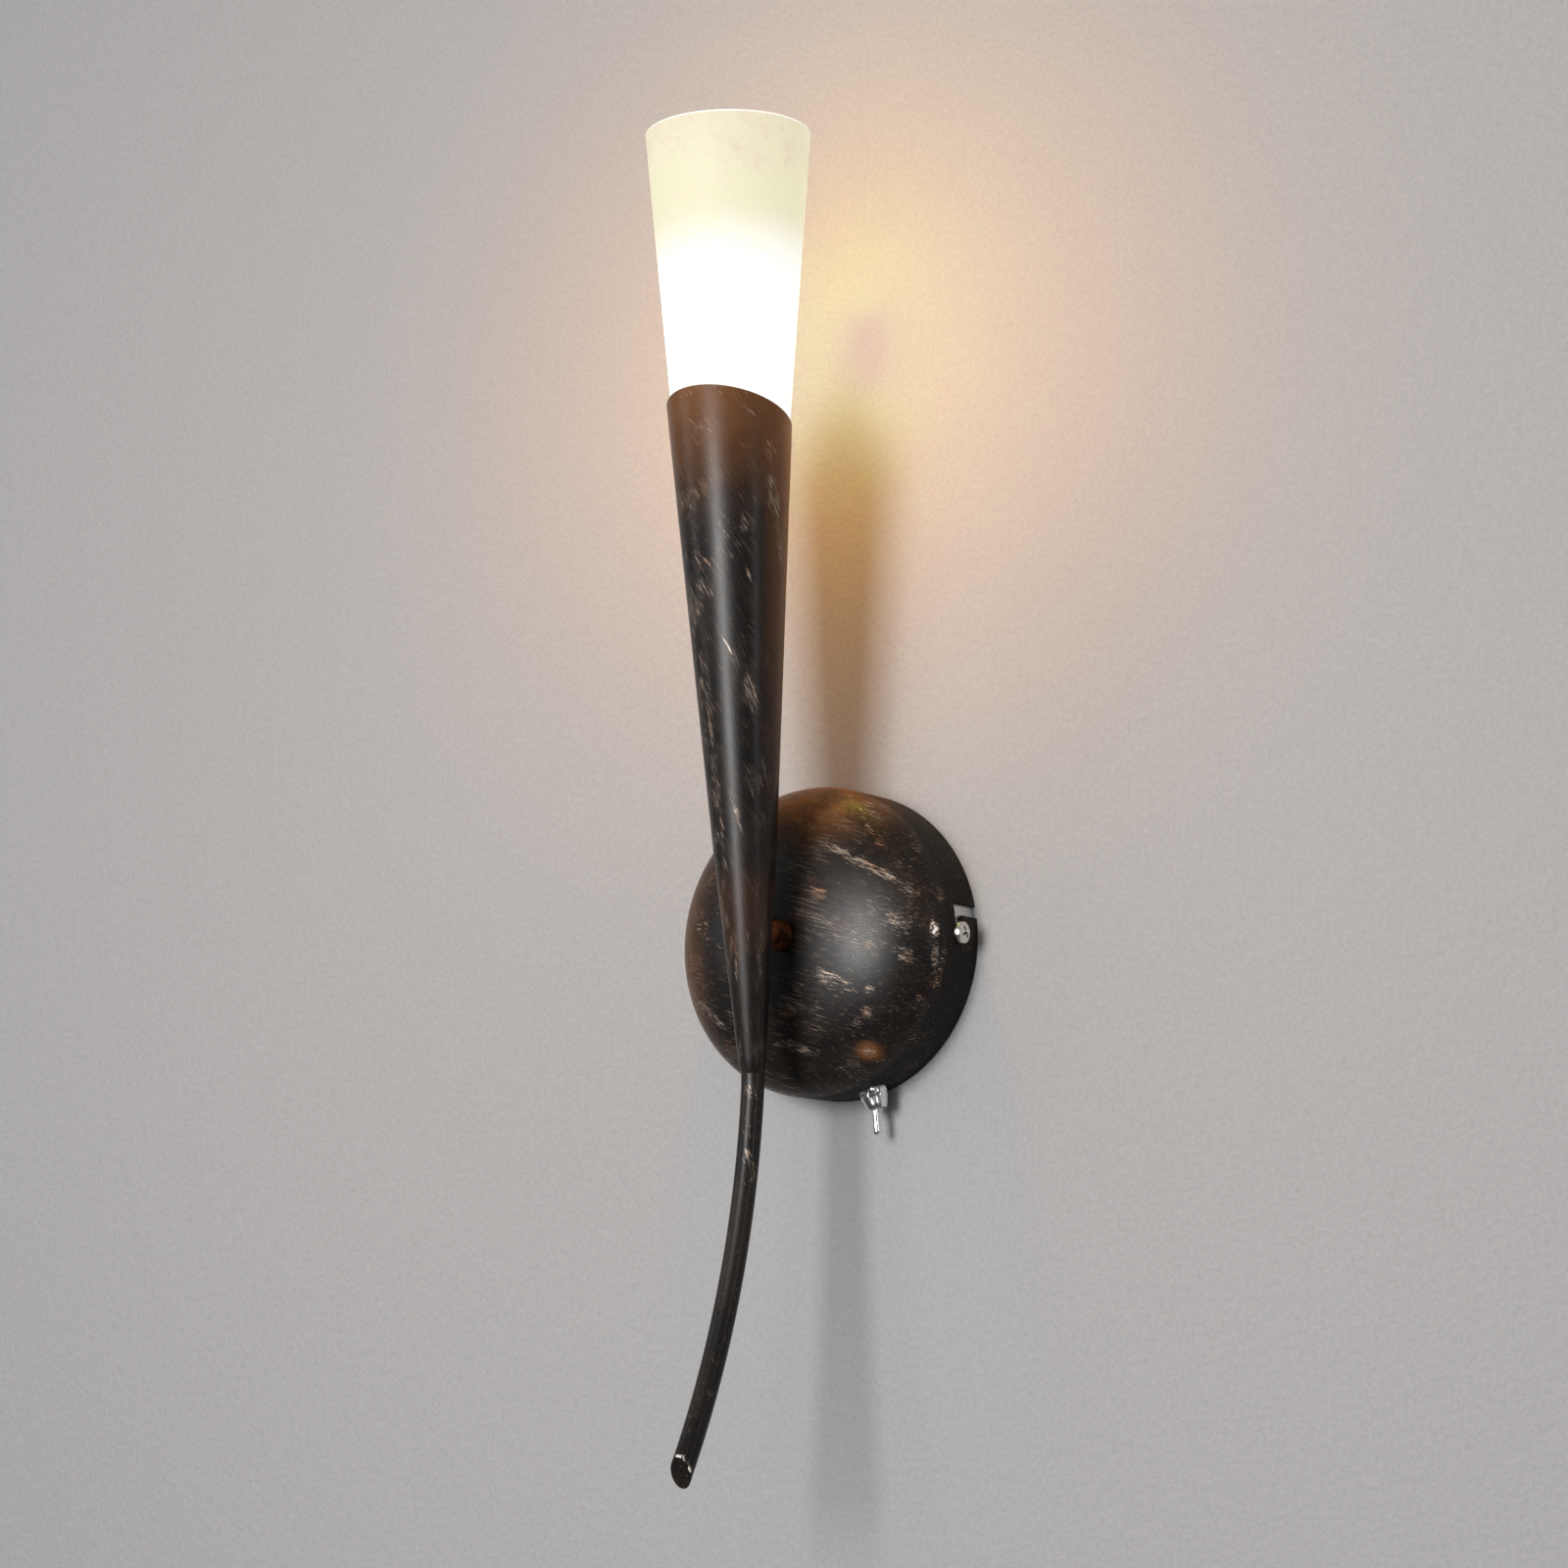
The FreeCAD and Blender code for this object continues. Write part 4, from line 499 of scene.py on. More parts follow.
def clear_glass(name):
    """Clear lamp glass with faint waves from the flame."""
    recipe = Recipe(name)
    where = recipe.place()
    waves = recipe.noise(where, 0.004, detail=1.0)
    haze = recipe.noise(where, 0.002, detail=2.0)
    return recipe.finish(
        Base_Color=recipe.mix(haze, colours().glass, colours().glass_haze),
        Roughness=0.02 + haze * 0.05,
        IOR=1.46,
        Transmission_Weight=1.0,
        Normal=recipe.bump(waves, 0.00006, 0.4),
    )


def lit_frost(name):
    """White frosted glass, lit from inside: blown out below, cream with pinkish clouds above."""
    recipe = Recipe(name)
    tints = colours()
    size = sizes()
    where = recipe.place()
    frame_of_shade = shade_frame()
    axis = frame_of_shade.col[2].xyz / size.shade_length
    offset = recipe.vector("SUBTRACT", where, frame_of_shade.translation, output="Vector")
    height = recipe.vector("DOT_PRODUCT", offset, axis)
    big = recipe.noise(where, 0.013, detail=4.0, roughness=0.62, swirl=0.6)
    small = recipe.noise(where, 0.0048, detail=4.0, roughness=0.65, swirl=1.2)
    vein_way = recipe.turned(where, turn=(0.5, 0.3, 0.2), size=(0.012, 0.004, 0.008))
    veins = recipe.noise(vein_way, detail=3.0, swirl=1.5)
    edge = height + (big - 0.5) * 0.05 + (small - 0.5) * 0.05
    high = recipe.step(edge, 0.57, 0.77)
    top = recipe.step(height + (big - 0.5) * 0.35 + (veins - 0.5) * 0.2, 0.80, 0.98)
    clouds = recipe.step(small * 0.5 + veins * 0.5, 0.40, 0.66)
    upper = recipe.mix(top * (clouds * 0.75 + 0.25), tints.shade_glow, tints.shade_cloud)
    rim = recipe.step(height, 0.992, 0.998)
    light = recipe.mix(high, tints.shade_lit, upper)
    light = recipe.mix(rim, light, tints.shade_lit)
    body = recipe.mix(clouds * high * 0.5, tints.shade, tints.shade_stain)
    return recipe.finish(
        Base_Color=body,
        Roughness=0.58 + small * 0.15,
        Specular_IOR_Level=0.3,
        Emission_Color=light,
        Emission_Strength=1.0,
        Normal=recipe.bump(small * 0.5 + big * 0.5, 0.00025, 0.25),
    )


# ---- mesh helpers ----


# Frame of what stands on the wall: its z points into the room.
WALL_FRAME = Matrix.Rotation(math.pi / 2, 4, "X")


def torch_frame():
    """Frame of the torch: its z runs up the leaning axis."""
    size = sizes()
    return Matrix.Translation((0, -size.torch_offset, 0)) @ Matrix.Rotation(size.torch_lean, 4, "X")


def shade_frame():
    """Frame of the shade: its foot stands on the cushion."""
    low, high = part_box("glass_shade")
    size = sizes()
    rise = math.sin(size.shade_lean)
    middle = (low.y + high.y) / 2 + size.shade_length * rise
    floor = low.z + size.shade_foot * rise
    return Matrix.Translation((0, middle, floor)) @ Matrix.Rotation(size.shade_lean, 4, "X")


def switch_frame(above=0.0, tilt=0.0):
    """Frame above the skirt at the switch: its z points outwards, leaning by a tilt."""
    size = sizes()
    turn = math.pi - size.switch_place
    away = size.canopy_radius + above
    spot = (away * math.sin(turn), -size.switch_depth, away * math.cos(turn))
    return Matrix.Translation(spot) @ Matrix.Rotation(turn + tilt, 4, "Y")


def ridges(level, end, pitch, crest, root):
    """The ridges of a thread, as a chain of (radius, height) from one level to another."""
    chain = []
    while level < end:
        chain += [(crest, level), (root, level + pitch / 2)]
        level += pitch
    return chain


def spun(profile, steps, closed=False):
    """Spin a chain of (radius, height) about z, or a closed ring of them."""
    mesh = bmesh.new()
    verts = [mesh.verts.new((radius, 0, height)) for radius, height in profile]
    for first, second in zip(verts, verts[1:] + verts[:1] if closed else verts[1:]):
        mesh.edges.new((first, second))
    bmesh.ops.spin(
        mesh,
        geom=mesh.verts[:] + mesh.edges[:],
        cent=(0, 0, 0),
        axis=(0, 0, 1),
        dvec=(0, 0, 0),
        angle=FULL_TURN,
        steps=steps,
        use_merge=True,
        use_duplicate=False,
    )
    bmesh.ops.remove_doubles(mesh, verts=mesh.verts, dist=TINY)
    bmesh.ops.recalc_face_normals(mesh, faces=mesh.faces)
    return mesh


def new_verts(result, key="geom"):
    """The vertices among what an operator has made."""
    return [part for part in result[key] if isinstance(part, bmesh.types.BMVert)]


def open_edges(mesh):
    """The edges on the mesh's open rims."""
    return [edge for edge in mesh.edges if edge.is_boundary]


def sharp_edges(mesh, degrees):
    """The edges whose two faces meet at more than an angle."""
    limit = math.radians(degrees)
    paired = [edge for edge in mesh.edges if len(edge.link_faces) == 2]
    return [edge for edge in paired if edge.calc_face_angle() > limit]


def soften(mesh, offset, segments=2, degrees=28):
    """Round every sharp edge."""
    bmesh.ops.bevel(
        mesh,
        geom=sharp_edges(mesh, degrees),
        offset=offset,
        offset_type="OFFSET",
        segments=segments,
        profile=0.5,
        affect="EDGES",
        material=-1,
        clamp_overlap=True,
    )


def slice_off(mesh, point, normal, keep_below=True):
    """Cut the mesh by a plane and drop what lies beyond it."""
    bmesh.ops.bisect_plane(
        mesh,
        geom=mesh.verts[:] + mesh.edges[:] + mesh.faces[:],
        plane_co=point,
        plane_no=normal,
        clear_outer=keep_below,
        clear_inner=not keep_below,
    )


def score(mesh, point, normal, where):
    """Cut the faces in one region along a plane, keeping both sides."""
    faces = [face for face in mesh.faces if where(face.calc_center_median())]
    edges = {edge for face in faces for edge in face.edges}
    verts = {vert for face in faces for vert in face.verts}
    geometry = list(verts) + list(edges) + faces
    bmesh.ops.bisect_plane(mesh, geom=geometry, plane_co=point, plane_no=normal, dist=TINY)


def extruded(mesh, edges, vector):
    """Pull a loop of edges out and return the new vertices."""
    verts = new_verts(bmesh.ops.extrude_edge_only(mesh, edges=edges))
    bmesh.ops.translate(mesh, vec=vector, verts=verts)
    return verts


def screw():
    """A pan head screw along z, its head above z = 0, with a cross recess and a ridged shaft."""
    size = sizes()
    head, tall, shaft = size.screw_head, size.screw_tall, size.screw_shaft
    half, span = size.recess_half, size.recess_span
    root, end, pitch = shaft * 0.84, -size.screw_reach, 0.7 * MM
    chain = [(0, end), (shaft * 0.7, end)]
    chain += ridges(end + pitch, -0.9 * MM, pitch, shaft, root)
    chain += [(root, 0), (head, 0), (head, tall * 0.42), (head * 0.93, tall * 0.68)]
    chain += [(head * 0.74, tall * 0.88), (head * 0.42, tall * 0.975), (0, tall)]
    mesh = spun(chain, 40)

    def on_top(spot):
        """Whether a place is on the head's upper side."""
        return spot.z > tall * 0.6

    for offset in (-span, -half, half, span):
        for way in ((1, 0, 0), (0, 1, 0)):
            score(mesh, Vector(way) * offset, way, on_top)

    def crossed(spot):
        """Whether a place is in the cross recess."""
        near, far = sorted((abs(spot.x), abs(spot.y)))
        return near < half and far < span and on_top(spot)

    faces = [face for face in mesh.faces if crossed(face.calc_center_median())]
    result = bmesh.ops.extrude_face_region(mesh, geom=faces)
    bmesh.ops.delete(mesh, geom=faces, context="FACES_ONLY")
    verts = new_verts(result)
    bmesh.ops.translate(mesh, vec=(0, 0, -size.recess_depth), verts=verts)
    bmesh.ops.scale(mesh, vec=(0.72, 0.72, 1), verts=verts)
    bmesh.ops.recalc_face_normals(mesh, faces=mesh.faces)
    return mesh


def as_data(name, mesh):
    """Mesh data from a bmesh, which is freed."""
    data = bpy.data.meshes.new(name)
    mesh.to_mesh(data)
    mesh.free()
    return data


def added(name, data):
    """A new object in the scene."""
    made = bpy.data.objects.new(name, data)
    bpy.context.scene.collection.objects.link(made)
    return made


def piece(name, mesh, matrix, material, body, nodes, sharp):
    """Turn a bmesh into a finished object in its place, riding on its body."""
    for face in mesh.faces:
        face.smooth = True
    for edge in sharp_edges(mesh, sharp):
        edge.smooth = False
    mesh.transform(matrix)
    made = added(name, as_data(name, mesh))
    made.data.materials.append(material)
    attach(made, body)
    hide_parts(*nodes)
    return made


def dress(material, *names):
    """Give CAD nodes a finish through their own material slots."""
    for name in names:
        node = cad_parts[name]
        for index in range(len(node.data.materials)):
            node.data.materials[index] = material


def wrap_uv(mesh, radius):
    """Unroll a round piece about z: u runs round it in metres, v along it, with the seam at +y."""
    layer = mesh.loops.layers.uv.new("Wrap")
    for face in mesh.faces:
        middle = face.calc_center_median()
        centre = math.atan2(middle.x, -middle.y)
        for loop in face.loops:
            spot = loop.vert.co
            turn = math.atan2(spot.x, -spot.y) if spot.xy.length > TINY else centre
            if turn - centre > math.pi:
                turn -= FULL_TURN
            elif centre - turn > math.pi:
                turn += FULL_TURN
            loop[layer].uv = (turn * radius, spot.z)


# ---- worn places ----


def solid_spots(rows):
    """Patches in space from rows of x, y, z, turn about y, three half sizes and strength, in mm."""
    return [
        (Vector(row[:3]) * MM, (0, row[3], 0), Vector(row[4:7]) * MM, row[7]) for row in rows
    ]


def flat_spots(rows):
    """Patches in an unrolled map from rows of u, v, turn, two half sizes and strength, in mm."""
    return [
        ((row[0] * MM, row[1] * MM, 0), (0, 0, row[2]), (row[3] * MM, row[4] * MM, 1), row[5])
        for row in rows
    ]


CANOPY_SPOTS = (
    (27.1, -33.5, 25.3, 0.5, 25.1, 12, 2.2, 1),
    (37.4, -33.6, 19.6, 0.5, 7.3, 12, 2.6, 1),
    (46, -29.9, 14, 0.63, 6.2, 12, 1.6, 1),
    (27.3, -26.5, 43.5, 0.47, 9.7, 12, 5, 0.55),
    (33.2, -30.5, 33.2, 0.88, 10.6, 12, 1.8, 0.75),
    (15.6, -40.4, 14, 0.5, 5.4, 12, 3.2, 0.75),
    (20.7, -38.7, -17, 0.42, 12.4, 12, 4.2, 0.8),
    (32.9, -35.4, -20.6, 1.22, 2.7, 12, 3.2, 1),
    (31.2, -34, -27.8, -1.52, 3.3, 12, 2.2, 0.75),
    (28.4, -28.7, -40.9, -0.05, 3.7, 12, 2.6, 1),
    (44.9, -31.5, -8.8, 0.74, 5.5, 12, 3.4, 0.75),
    (43.6, -32.7, 2.7, 0.94, 8, 12, 4, 0.6),
    (52.7, -24, -8.9, -1.46, 6.9, 12, 1.1, 1),
    (-34.6, -32.8, -25.4, 0.68, 12.6, 12, 2.4, 0.85),
    (2, -34.9, -38.6, 0.26, 12.3, 12, 3.2, 0.8),
    (0.7, -39.6, -24.7, 0.56, 5.9, 12, 4.5, 0.6),
    (27.9, -38.1, -2.7, 0.56, 14.9, 12, 5.5, 0.4),
    (-38.4, -34.4, 7.7, 0.83, 12.1, 12, 5, 0.55),
    (6.7, -35, 38.7, 0.38, 7.5, 12, 4, 0.5),
    (47.2, -24.7, -23.9, 1.56, 4.8, 12, 1.6, 0.5),
    # The last row is a painted glint on the skirt's shoulder, drawn as bare metal.
    (53, -25.3, 0.1, 1.45, 4.4, 4, 1.7, 1.7),
)

TORCH_SPOTS = (
    (17.1, 176.9, -0.71, 4.8, 1.1, 1),
    (-0.6, 173.7, -1.44, 9.1, 4.2, 0.45),
    (24.6, 163.7, -1.35, 7.8, 4, 0.7),
    (26.4, 147.8, -1.31, 12.7, 4, 1),
    (30.4, 130.5, -1.28, 11.8, 3.2, 0.75),
    (34.2, 112.3, -1.26, 9.9, 2, 0.55),
    (5.7, 139.9, -1.16, 8.8, 4.5, 0.42),
    (15.9, 137, -1.34, 8.9, 3.6, 0.45),
    (0.5, 125.9, -0.86, 4, 0.7, 1.15),
    (-1.3, 117.1, -0.72, 6.9, 3.4, 0.75),
    (15.6, 121.7, -1.25, 6.9, 0.9, 0.85),
    (7.1, 96.4, -1.01, 5.2, 0.7, 1.2),
    (-5.9, 91.5, -1.2, 7.4, 3, 0.7),
    (16.2, 79.3, -1.32, 11.5, 3.6, 1),
    (15.8, 76.7, -0.84, 6.7, 3, 0.6),
    (-4.3, 67.6, -1.47, 9.9, 2.2, 0.95),
    (15.4, 50.2, -1.02, 9.1, 4.6, 0.5),
    (7.6, 38.3, -1.26, 9.8, 2.2, 0.85),
    (-2.6, 47.6, -1.43, 7.9, 2.2, 0.8),
    (-2.3, 34.7, -1.57, 7, 2, 0.85),
    (-1.7, 22.3, -1.25, 7.9, 1.8, 0.45),
    (-0.6, -13.6, -1.64, 6.2, 2.2, 1),
    (27.5, 40.7, -1.28, 10, 1.5, 0.5),
    (22.4, 94.4, -0.94, 11.6, 3, 0.35),
)

# The last three are painted highlights on the rim of the end face, drawn as bare metal.
TAIL_SPOTS = (
    (3, -64, -80, 1.35, 12, 4, 1.6, 0.8),
    (1, -60, -56, 1.35, 6, 8, 3, 0.7),
    (0.6, -100.5, -178.1, 0.15, 3.4, 2.2, 1, 1.7),
    (2.7, -100.1, -179.5, 0.8, 2.6, 2.2, 1, 1.7),
    (3.8, -99.2, -182.2, 1.4, 2, 2, 0.8, 1.6),
)


# ---- operators ----


class SCONCE_OT_canopy(bpy.types.Operator):
    """Domed canopy with its two bayonet slots"""

    bl_idname = "sconce.canopy"
    bl_label = "Canopy"

    def execute(self, context):
        size = sizes()
        radius, skirt = size.canopy_radius, size.canopy_skirt
        mesh = bmesh.new()
        levels = 68
        bmesh.ops.create_uvsphere(mesh, u_segments=size.steps, v_segments=levels, radius=radius)
        bmesh.ops.scale(mesh, vec=(1, 1, size.canopy_crown / radius), verts=mesh.verts)
        slice_off(mesh, (0, 0, 0), (0, 0, 1), keep_below=False)
        upper = [vert for vert in mesh.verts if vert.co.z > 0]
        hole = [vert for vert in upper if vert.co.xy.length < size.arm_thread * 0.8]
        bmesh.ops.delete(mesh, geom=hole, context="VERTS")
        rim = [edge for edge in open_edges(mesh) if edge.verts[0].co.z < 1 * MM]
        extruded(mesh, rim, (0, 0, -skirt))
        bmesh.ops.translate(mesh, vec=(0, 0, skirt), verts=mesh.verts)
        for side in (1, -1):
            self.cut_slot(mesh, side)
        bmesh.ops.remove_doubles(mesh, verts=mesh.verts, dist=0.03 * MM)
        bmesh.ops.dissolve_degenerate(mesh, edges=mesh.edges, dist=0.02 * MM)
        bmesh.ops.recalc_face_normals(mesh, faces=mesh.faces)
        nodes, paint = ("canopy_shell",), self.paint()
        made = piece("canopy", mesh, WALL_FRAME, paint, "lamp", nodes, sharp=40)
        wall = made.modifiers.new("Wall", "SOLIDIFY")
        wall.thickness = size.canopy_wall
        wall.offset = -1
        lip = made.modifiers.new("Lip", "BEVEL")
        lip.width = size.canopy_lip
        lip.segments = 2
        lip.limit_method = "ANGLE"
        lip.angle_limit = math.radians(50)
        return {"FINISHED"}

    @staticmethod
    def paint():
        """The paint, browner at the crown, where it also carries a painted reflection of the lamp's
        glow, and on the left, and dull on the skirt.
        """
        recipe = Recipe("aged_paint_canopy")
        where = recipe.place()
        height = recipe.split(where, 2)
        out = recipe.split(where, 1)
        cloud = recipe.step(recipe.noise(where, 0.015, 3.0), 0.30, 0.60, 0.35, 1.0)
        # The crown's warm tint is partly rubbed brown paint and partly a painted reflection of the
        # lamp's glow on the wall above.
        crown = recipe.step(height - out * 0.5, 0.046, 0.072) * cloud
        shoulder = recipe.step(out, -0.0185, -0.0205) * recipe.step(out, -0.0285, -0.0215)
        shoulder = shoulder * recipe.step(recipe.noise(where, 0.012, 2.0), 0.50, 0.64)
        side = recipe.step(recipe.split(where, 0), -0.030, -0.052) * 0.30
        haze = recipe.turned(where, turn=(0, 0.30, 0), size=(0.006, 0.004, 0.0008))
        haze = recipe.noise(haze, 1.0, 3.0, 0.7)
        middle, reach = (0.0284, -0.0287, -0.0409), (0.0060, 0.012, 0.0046)
        rust = recipe.spot(where, middle, (0, 0, 0), reach) * 0.45
        # The warm mask: rubbed brown with painted glow at the crown, rubbed brown on the left, and
        # a rust patch.
        warm_rub_and_glow = crown.larger(side).larger(rust) * recipe.step(haze, 0.25, 0.65, 0.50, 1.0)
        return aged_paint(
            (recipe, where),
            solid_spots(CANOPY_SPOTS),
            ((0, 0.30, 0), (0, 0.62, 0)),
            (8.0, 1.0),
            (crown * 0.30).larger(shoulder * 0.7),
            warm_rub_and_glow,
            matt=recipe.step(out, -0.0230, -0.0180) * 0.40,
        )

    @staticmethod
    def cut_slot(mesh, side):
        """The L-shaped slot: entry channel from the wall edge, cross channel and round seat."""
        size = sizes()
        half, radius, twist = size.slot_half, size.canopy_radius, size.twist
        low, high = size.slot_depth - half, size.slot_depth + half

        def near(spot):
            """Whether a place is on the skirt, about the slot."""
            aside = spot.x * side > radius * 0.9 and abs(spot.y) < radius * 0.35
            return aside and spot.z < size.canopy_skirt

        entry = Matrix.Rotation(twist, 3, "Z")
        across = entry @ Vector((0, 1, 0))
        for offset in (-half, half):
            score(mesh, across * offset, across, near)
        for depth in (low, high):
            score(mesh, (0, 0, depth), (0, 0, 1), near)
        score(mesh, (0, 0, 0), (0, 1, 0), near)
        middle = Vector((0, 0, (low + high) / 2))
        # The seat is round: short cuts, 15 degrees apart, follow its arc.
        for step in (-5, -4, -3, -2, -1, 1, 2, 3, 4, 5):
            turn = math.pi * step / 12
            way = Vector((0, -side * math.cos(turn), math.sin(turn)))
            score(mesh, middle + way * half, way, near)
        score(mesh, middle - Vector((0, side * half, 0)), (0, 1, 0), near)

        def inside(spot):
            """Whether a place is in the slot's opening."""
            along = spot.y * side
            level = spot.z - middle.z
            if abs(spot.dot(across)) < half and spot.z < high:
                return True
            if 0 < along < radius * math.sin(twist) and abs(level) < half:
                return True
            return along <= 0 and math.hypot(along, level) < half * 0.995

        gone = [face for face in mesh.faces if near(face.calc_center_median())]
        gone = [face for face in gone if inside(face.calc_center_median())]
        bmesh.ops.delete(mesh, geom=gone, context="FACES")


class SCONCE_OT_arm(bpy.types.Operator):
    """Copper-brown arm tube between canopy and torch, with its inner thread"""

    bl_idname = "sconce.arm"
    bl_label = "Arm"

    def execute(self, context):
        size = sizes()
        pole = size.canopy_skirt + size.canopy_crown
        low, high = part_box("arm_tube")
        inner_end, outer_end = -high.y, -low.y
        ridge, pitch = 0.35 * MM, 1.0 * MM
        bore, thread, shoulder = size.arm_bore, size.arm_thread, size.arm_radius
        chain = [(bore, outer_end), (bore, inner_end), (thread - ridge, inner_end)]
        chain += ridges(inner_end + pitch / 2, pole - pitch, pitch, thread, thread - ridge)
        chain += [(thread - ridge, pole), (shoulder, pole), (shoulder, outer_end)]
        mesh = spun(chain, 64, closed=True)
        soften(mesh, 0.12 * MM, degrees=60)
        recipe = Recipe("copper_brown")
        where = recipe.place()
        tints = colours()
        broad = recipe.noise(where, 0.004, detail=3.0)
        rings = recipe.noise(recipe.turned(where, size=(0.01, 0.0003, 0.01)), detail=2.0)
        rub = recipe.step(broad, 0.52, 0.66) * recipe.step(rings, 0.40, 0.60)
        dark = scaled(tints.stud, 0.15)
        tone = recipe.mix(recipe.step(broad, 0.42, 0.62), tints.stud, dark)
        copper = recipe.finish(
            Base_Color=recipe.mix(rub * 0.55, tone, tints.copper),
            Metallic=0.65 + rub * 0.3,
            Roughness=0.20 + rings * 0.12,
            Normal=recipe.bump(rings, 0.00003, 0.4),
        )
        piece("arm", mesh, WALL_FRAME, copper, "lamp", ("arm_tube",), sharp=40)
        return {"FINISHED"}


class SCONCE_OT_torch(bpy.types.Operator):
    """Long sheet-metal cone with its swaged neck and slanted rim"""

    bl_idname = "sconce.torch"
    bl_label = "Torch"

    def execute(self, context):
        size = sizes()
        wall = size.torch_wall
        neck = size.tail_radius + 0.17 * MM
        low = -size.torch_low
        widening = size.torch_waist_radius - size.torch_low_radius
        slope = widening / (size.torch_waist + size.torch_low)
        outer = [
            (neck, low - size.neck_reach),
            (size.torch_low_radius, low),
            (size.torch_waist_radius, size.torch_waist),
            (size.torch_top_radius, size.torch_top),
        ]
        shoulder = low - (size.torch_low_radius - wall - size.tail_radius) / slope
        inner = [
            (size.torch_top_radius - wall, size.torch_top),
            (size.torch_waist_radius - wall, size.torch_waist),
            (size.tail_radius, shoulder),
            (size.tail_radius, low - size.neck_reach),
        ]
        mesh = spun(outer + inner, CONE_STEPS, closed=True)
        tilt = Vector((0, math.sin(size.rim_slant), math.cos(size.rim_slant)))
        slice_off(mesh, (0, 0, size.rim_height), tilt)
        bmesh.ops.bridge_loops(mesh, edges=open_edges(mesh))
        bmesh.ops.recalc_face_normals(mesh, faces=mesh.faces)
        soften(mesh, 0.14 * MM, segments=3, degrees=45)
        for level in TORCH_RINGS:
            score(mesh, (0, 0, level), (0, 0, 1), lambda spot: spot.z < TORCH_RINGED)
        wrap_uv(mesh, TORCH_WRAP)
        nodes, paint = ("torch_cone",), self.paint()
        piece("torch", mesh, torch_frame(), paint, "lamp", nodes, sharp=30)
        return {"FINISHED"}

    @staticmethod
    def paint():
        """The paint: near the rim rubbed brown with a painted amber lamp glow, a painted glow on
        the right, rubbed along the left edge.
        """
        recipe = Recipe("aged_paint_torch")
        where = recipe.place("UV")
        along = recipe.split(where, 1)
        around = recipe.split(where, 0)
        blot = recipe.noise(where, 0.012, detail=3.0)
        # Near the rim the brown is partly rubbed paint and partly a painted amber glow of the
        # lamp's light.
        top = recipe.step(along + (blot - 0.5) * 0.02, 0.135, 0.192)
        # A painted glow of the lamp's light down the torch's right side.
        side = recipe.step(around, 0.018, 0.040) * recipe.step(around, 0.058, 0.046)
        side = side * recipe.step(along, 0.02, 0.15)
        band = recipe.step(along, 0.026, 0.012) * recipe.step(along, -0.012, 0.002) * 0.07
        # The warm mask: painted glow near the rim and on the right side, and a faint brown band at
        # the arm's height.
        warm_rub_and_glow = (top * 0.46 + side * 0.78).smaller(0.92).larger(band)
        edge = recipe.step(around, 0.0015, -0.0045) * recipe.step(around, -0.0180, -0.0090)
        edge = edge * recipe.step(blot, 0.36, 0.58) * recipe.step(along, 0.165, 0.140) * 0.62
        zone = (top * 0.35 * recipe.step(blot, 0.45, 0.65)).larger(edge)
        return aged_paint(
            (recipe, where),
            flat_spots(TORCH_SPOTS),
            ((0, 0, -1.05), (0, 0, -0.80)),
            (1.0, 8.0),
            zone,
            warm_rub_and_glow,
        )


class SCONCE_OT_tail(bpy.types.Operator):
    """Bent tail rod with its slanted end face"""

    bl_idname = "sconce.tail"
    bl_label = "Tail"

    def execute(self, context):
        size = sizes()
        start = -(size.torch_low + size.neck_reach)
        inside = 19 * MM
        mesh = bmesh.new()
        bmesh.ops.create_circle(mesh, segments=ROD_STEPS, radius=size.tail_radius, cap_ends=True)
        bmesh.ops.translate(mesh, vec=(0, 0, start + inside), verts=mesh.verts)
        loop = extruded(mesh, mesh.edges[:], (0, 0, -inside))
        first = Vector((0, -size.tail_first_bend, start))
        loop = self.bent(mesh, loop, first, size.tail_first_turn, 4)
        turn = size.tail_first_turn
        way = Vector((0, math.cos(turn), -math.sin(turn)))
        sweep = first + way * size.tail_first_bend - way * size.tail_sweep
        loop = self.bent(mesh, loop, sweep, size.tail_sweep_turn, 48)
        turn += size.tail_sweep_turn
        spot = sweep + Vector((0, math.cos(turn), -math.sin(turn))) * size.tail_sweep
        along = Vector((0, -math.sin(turn), -math.cos(turn)))
        extruded(mesh, open_edges(mesh), along * (4 * size.tail_radius))
        slant = size.tail_cut
        slice_off(mesh, spot, (0, -math.cos(slant), -math.sin(slant)))
        bmesh.ops.contextual_create(mesh, geom=open_edges(mesh))
        bmesh.ops.recalc_face_normals(mesh, faces=mesh.faces)
        soften(mesh, 0.42 * MM, segments=3, degrees=40)
        recipe = Recipe("aged_paint_tail")
        where = recipe.place()
        high = recipe.step(recipe.split(where, 2), -0.15, -0.07)
        paint = aged_paint(
            (recipe, where),
            solid_spots(TAIL_SPOTS),
            ((0, 1.40, 0), (0, 1.0, 0)),
            (1.5, 1.5),
            high * 0.10,
            0.0,
            age=0.25,
        )
        piece("tail", mesh, torch_frame(), paint, "lamp", ("tail_rod",), sharp=40)
        return {"FINISHED"}

    @staticmethod
    def bent(mesh, loop, centre, turn, steps):
        """Carry the open end of the rod round a bend."""
        result = bmesh.ops.spin(
            mesh,
            geom=loop + open_edges(mesh),
            cent=centre,
            axis=(1, 0, 0),
            dvec=(0, 0, 0),
            angle=-turn,
            steps=steps,
            use_merge=False,
            use_duplicate=False,
        )
        return new_verts(result, "geom_last")


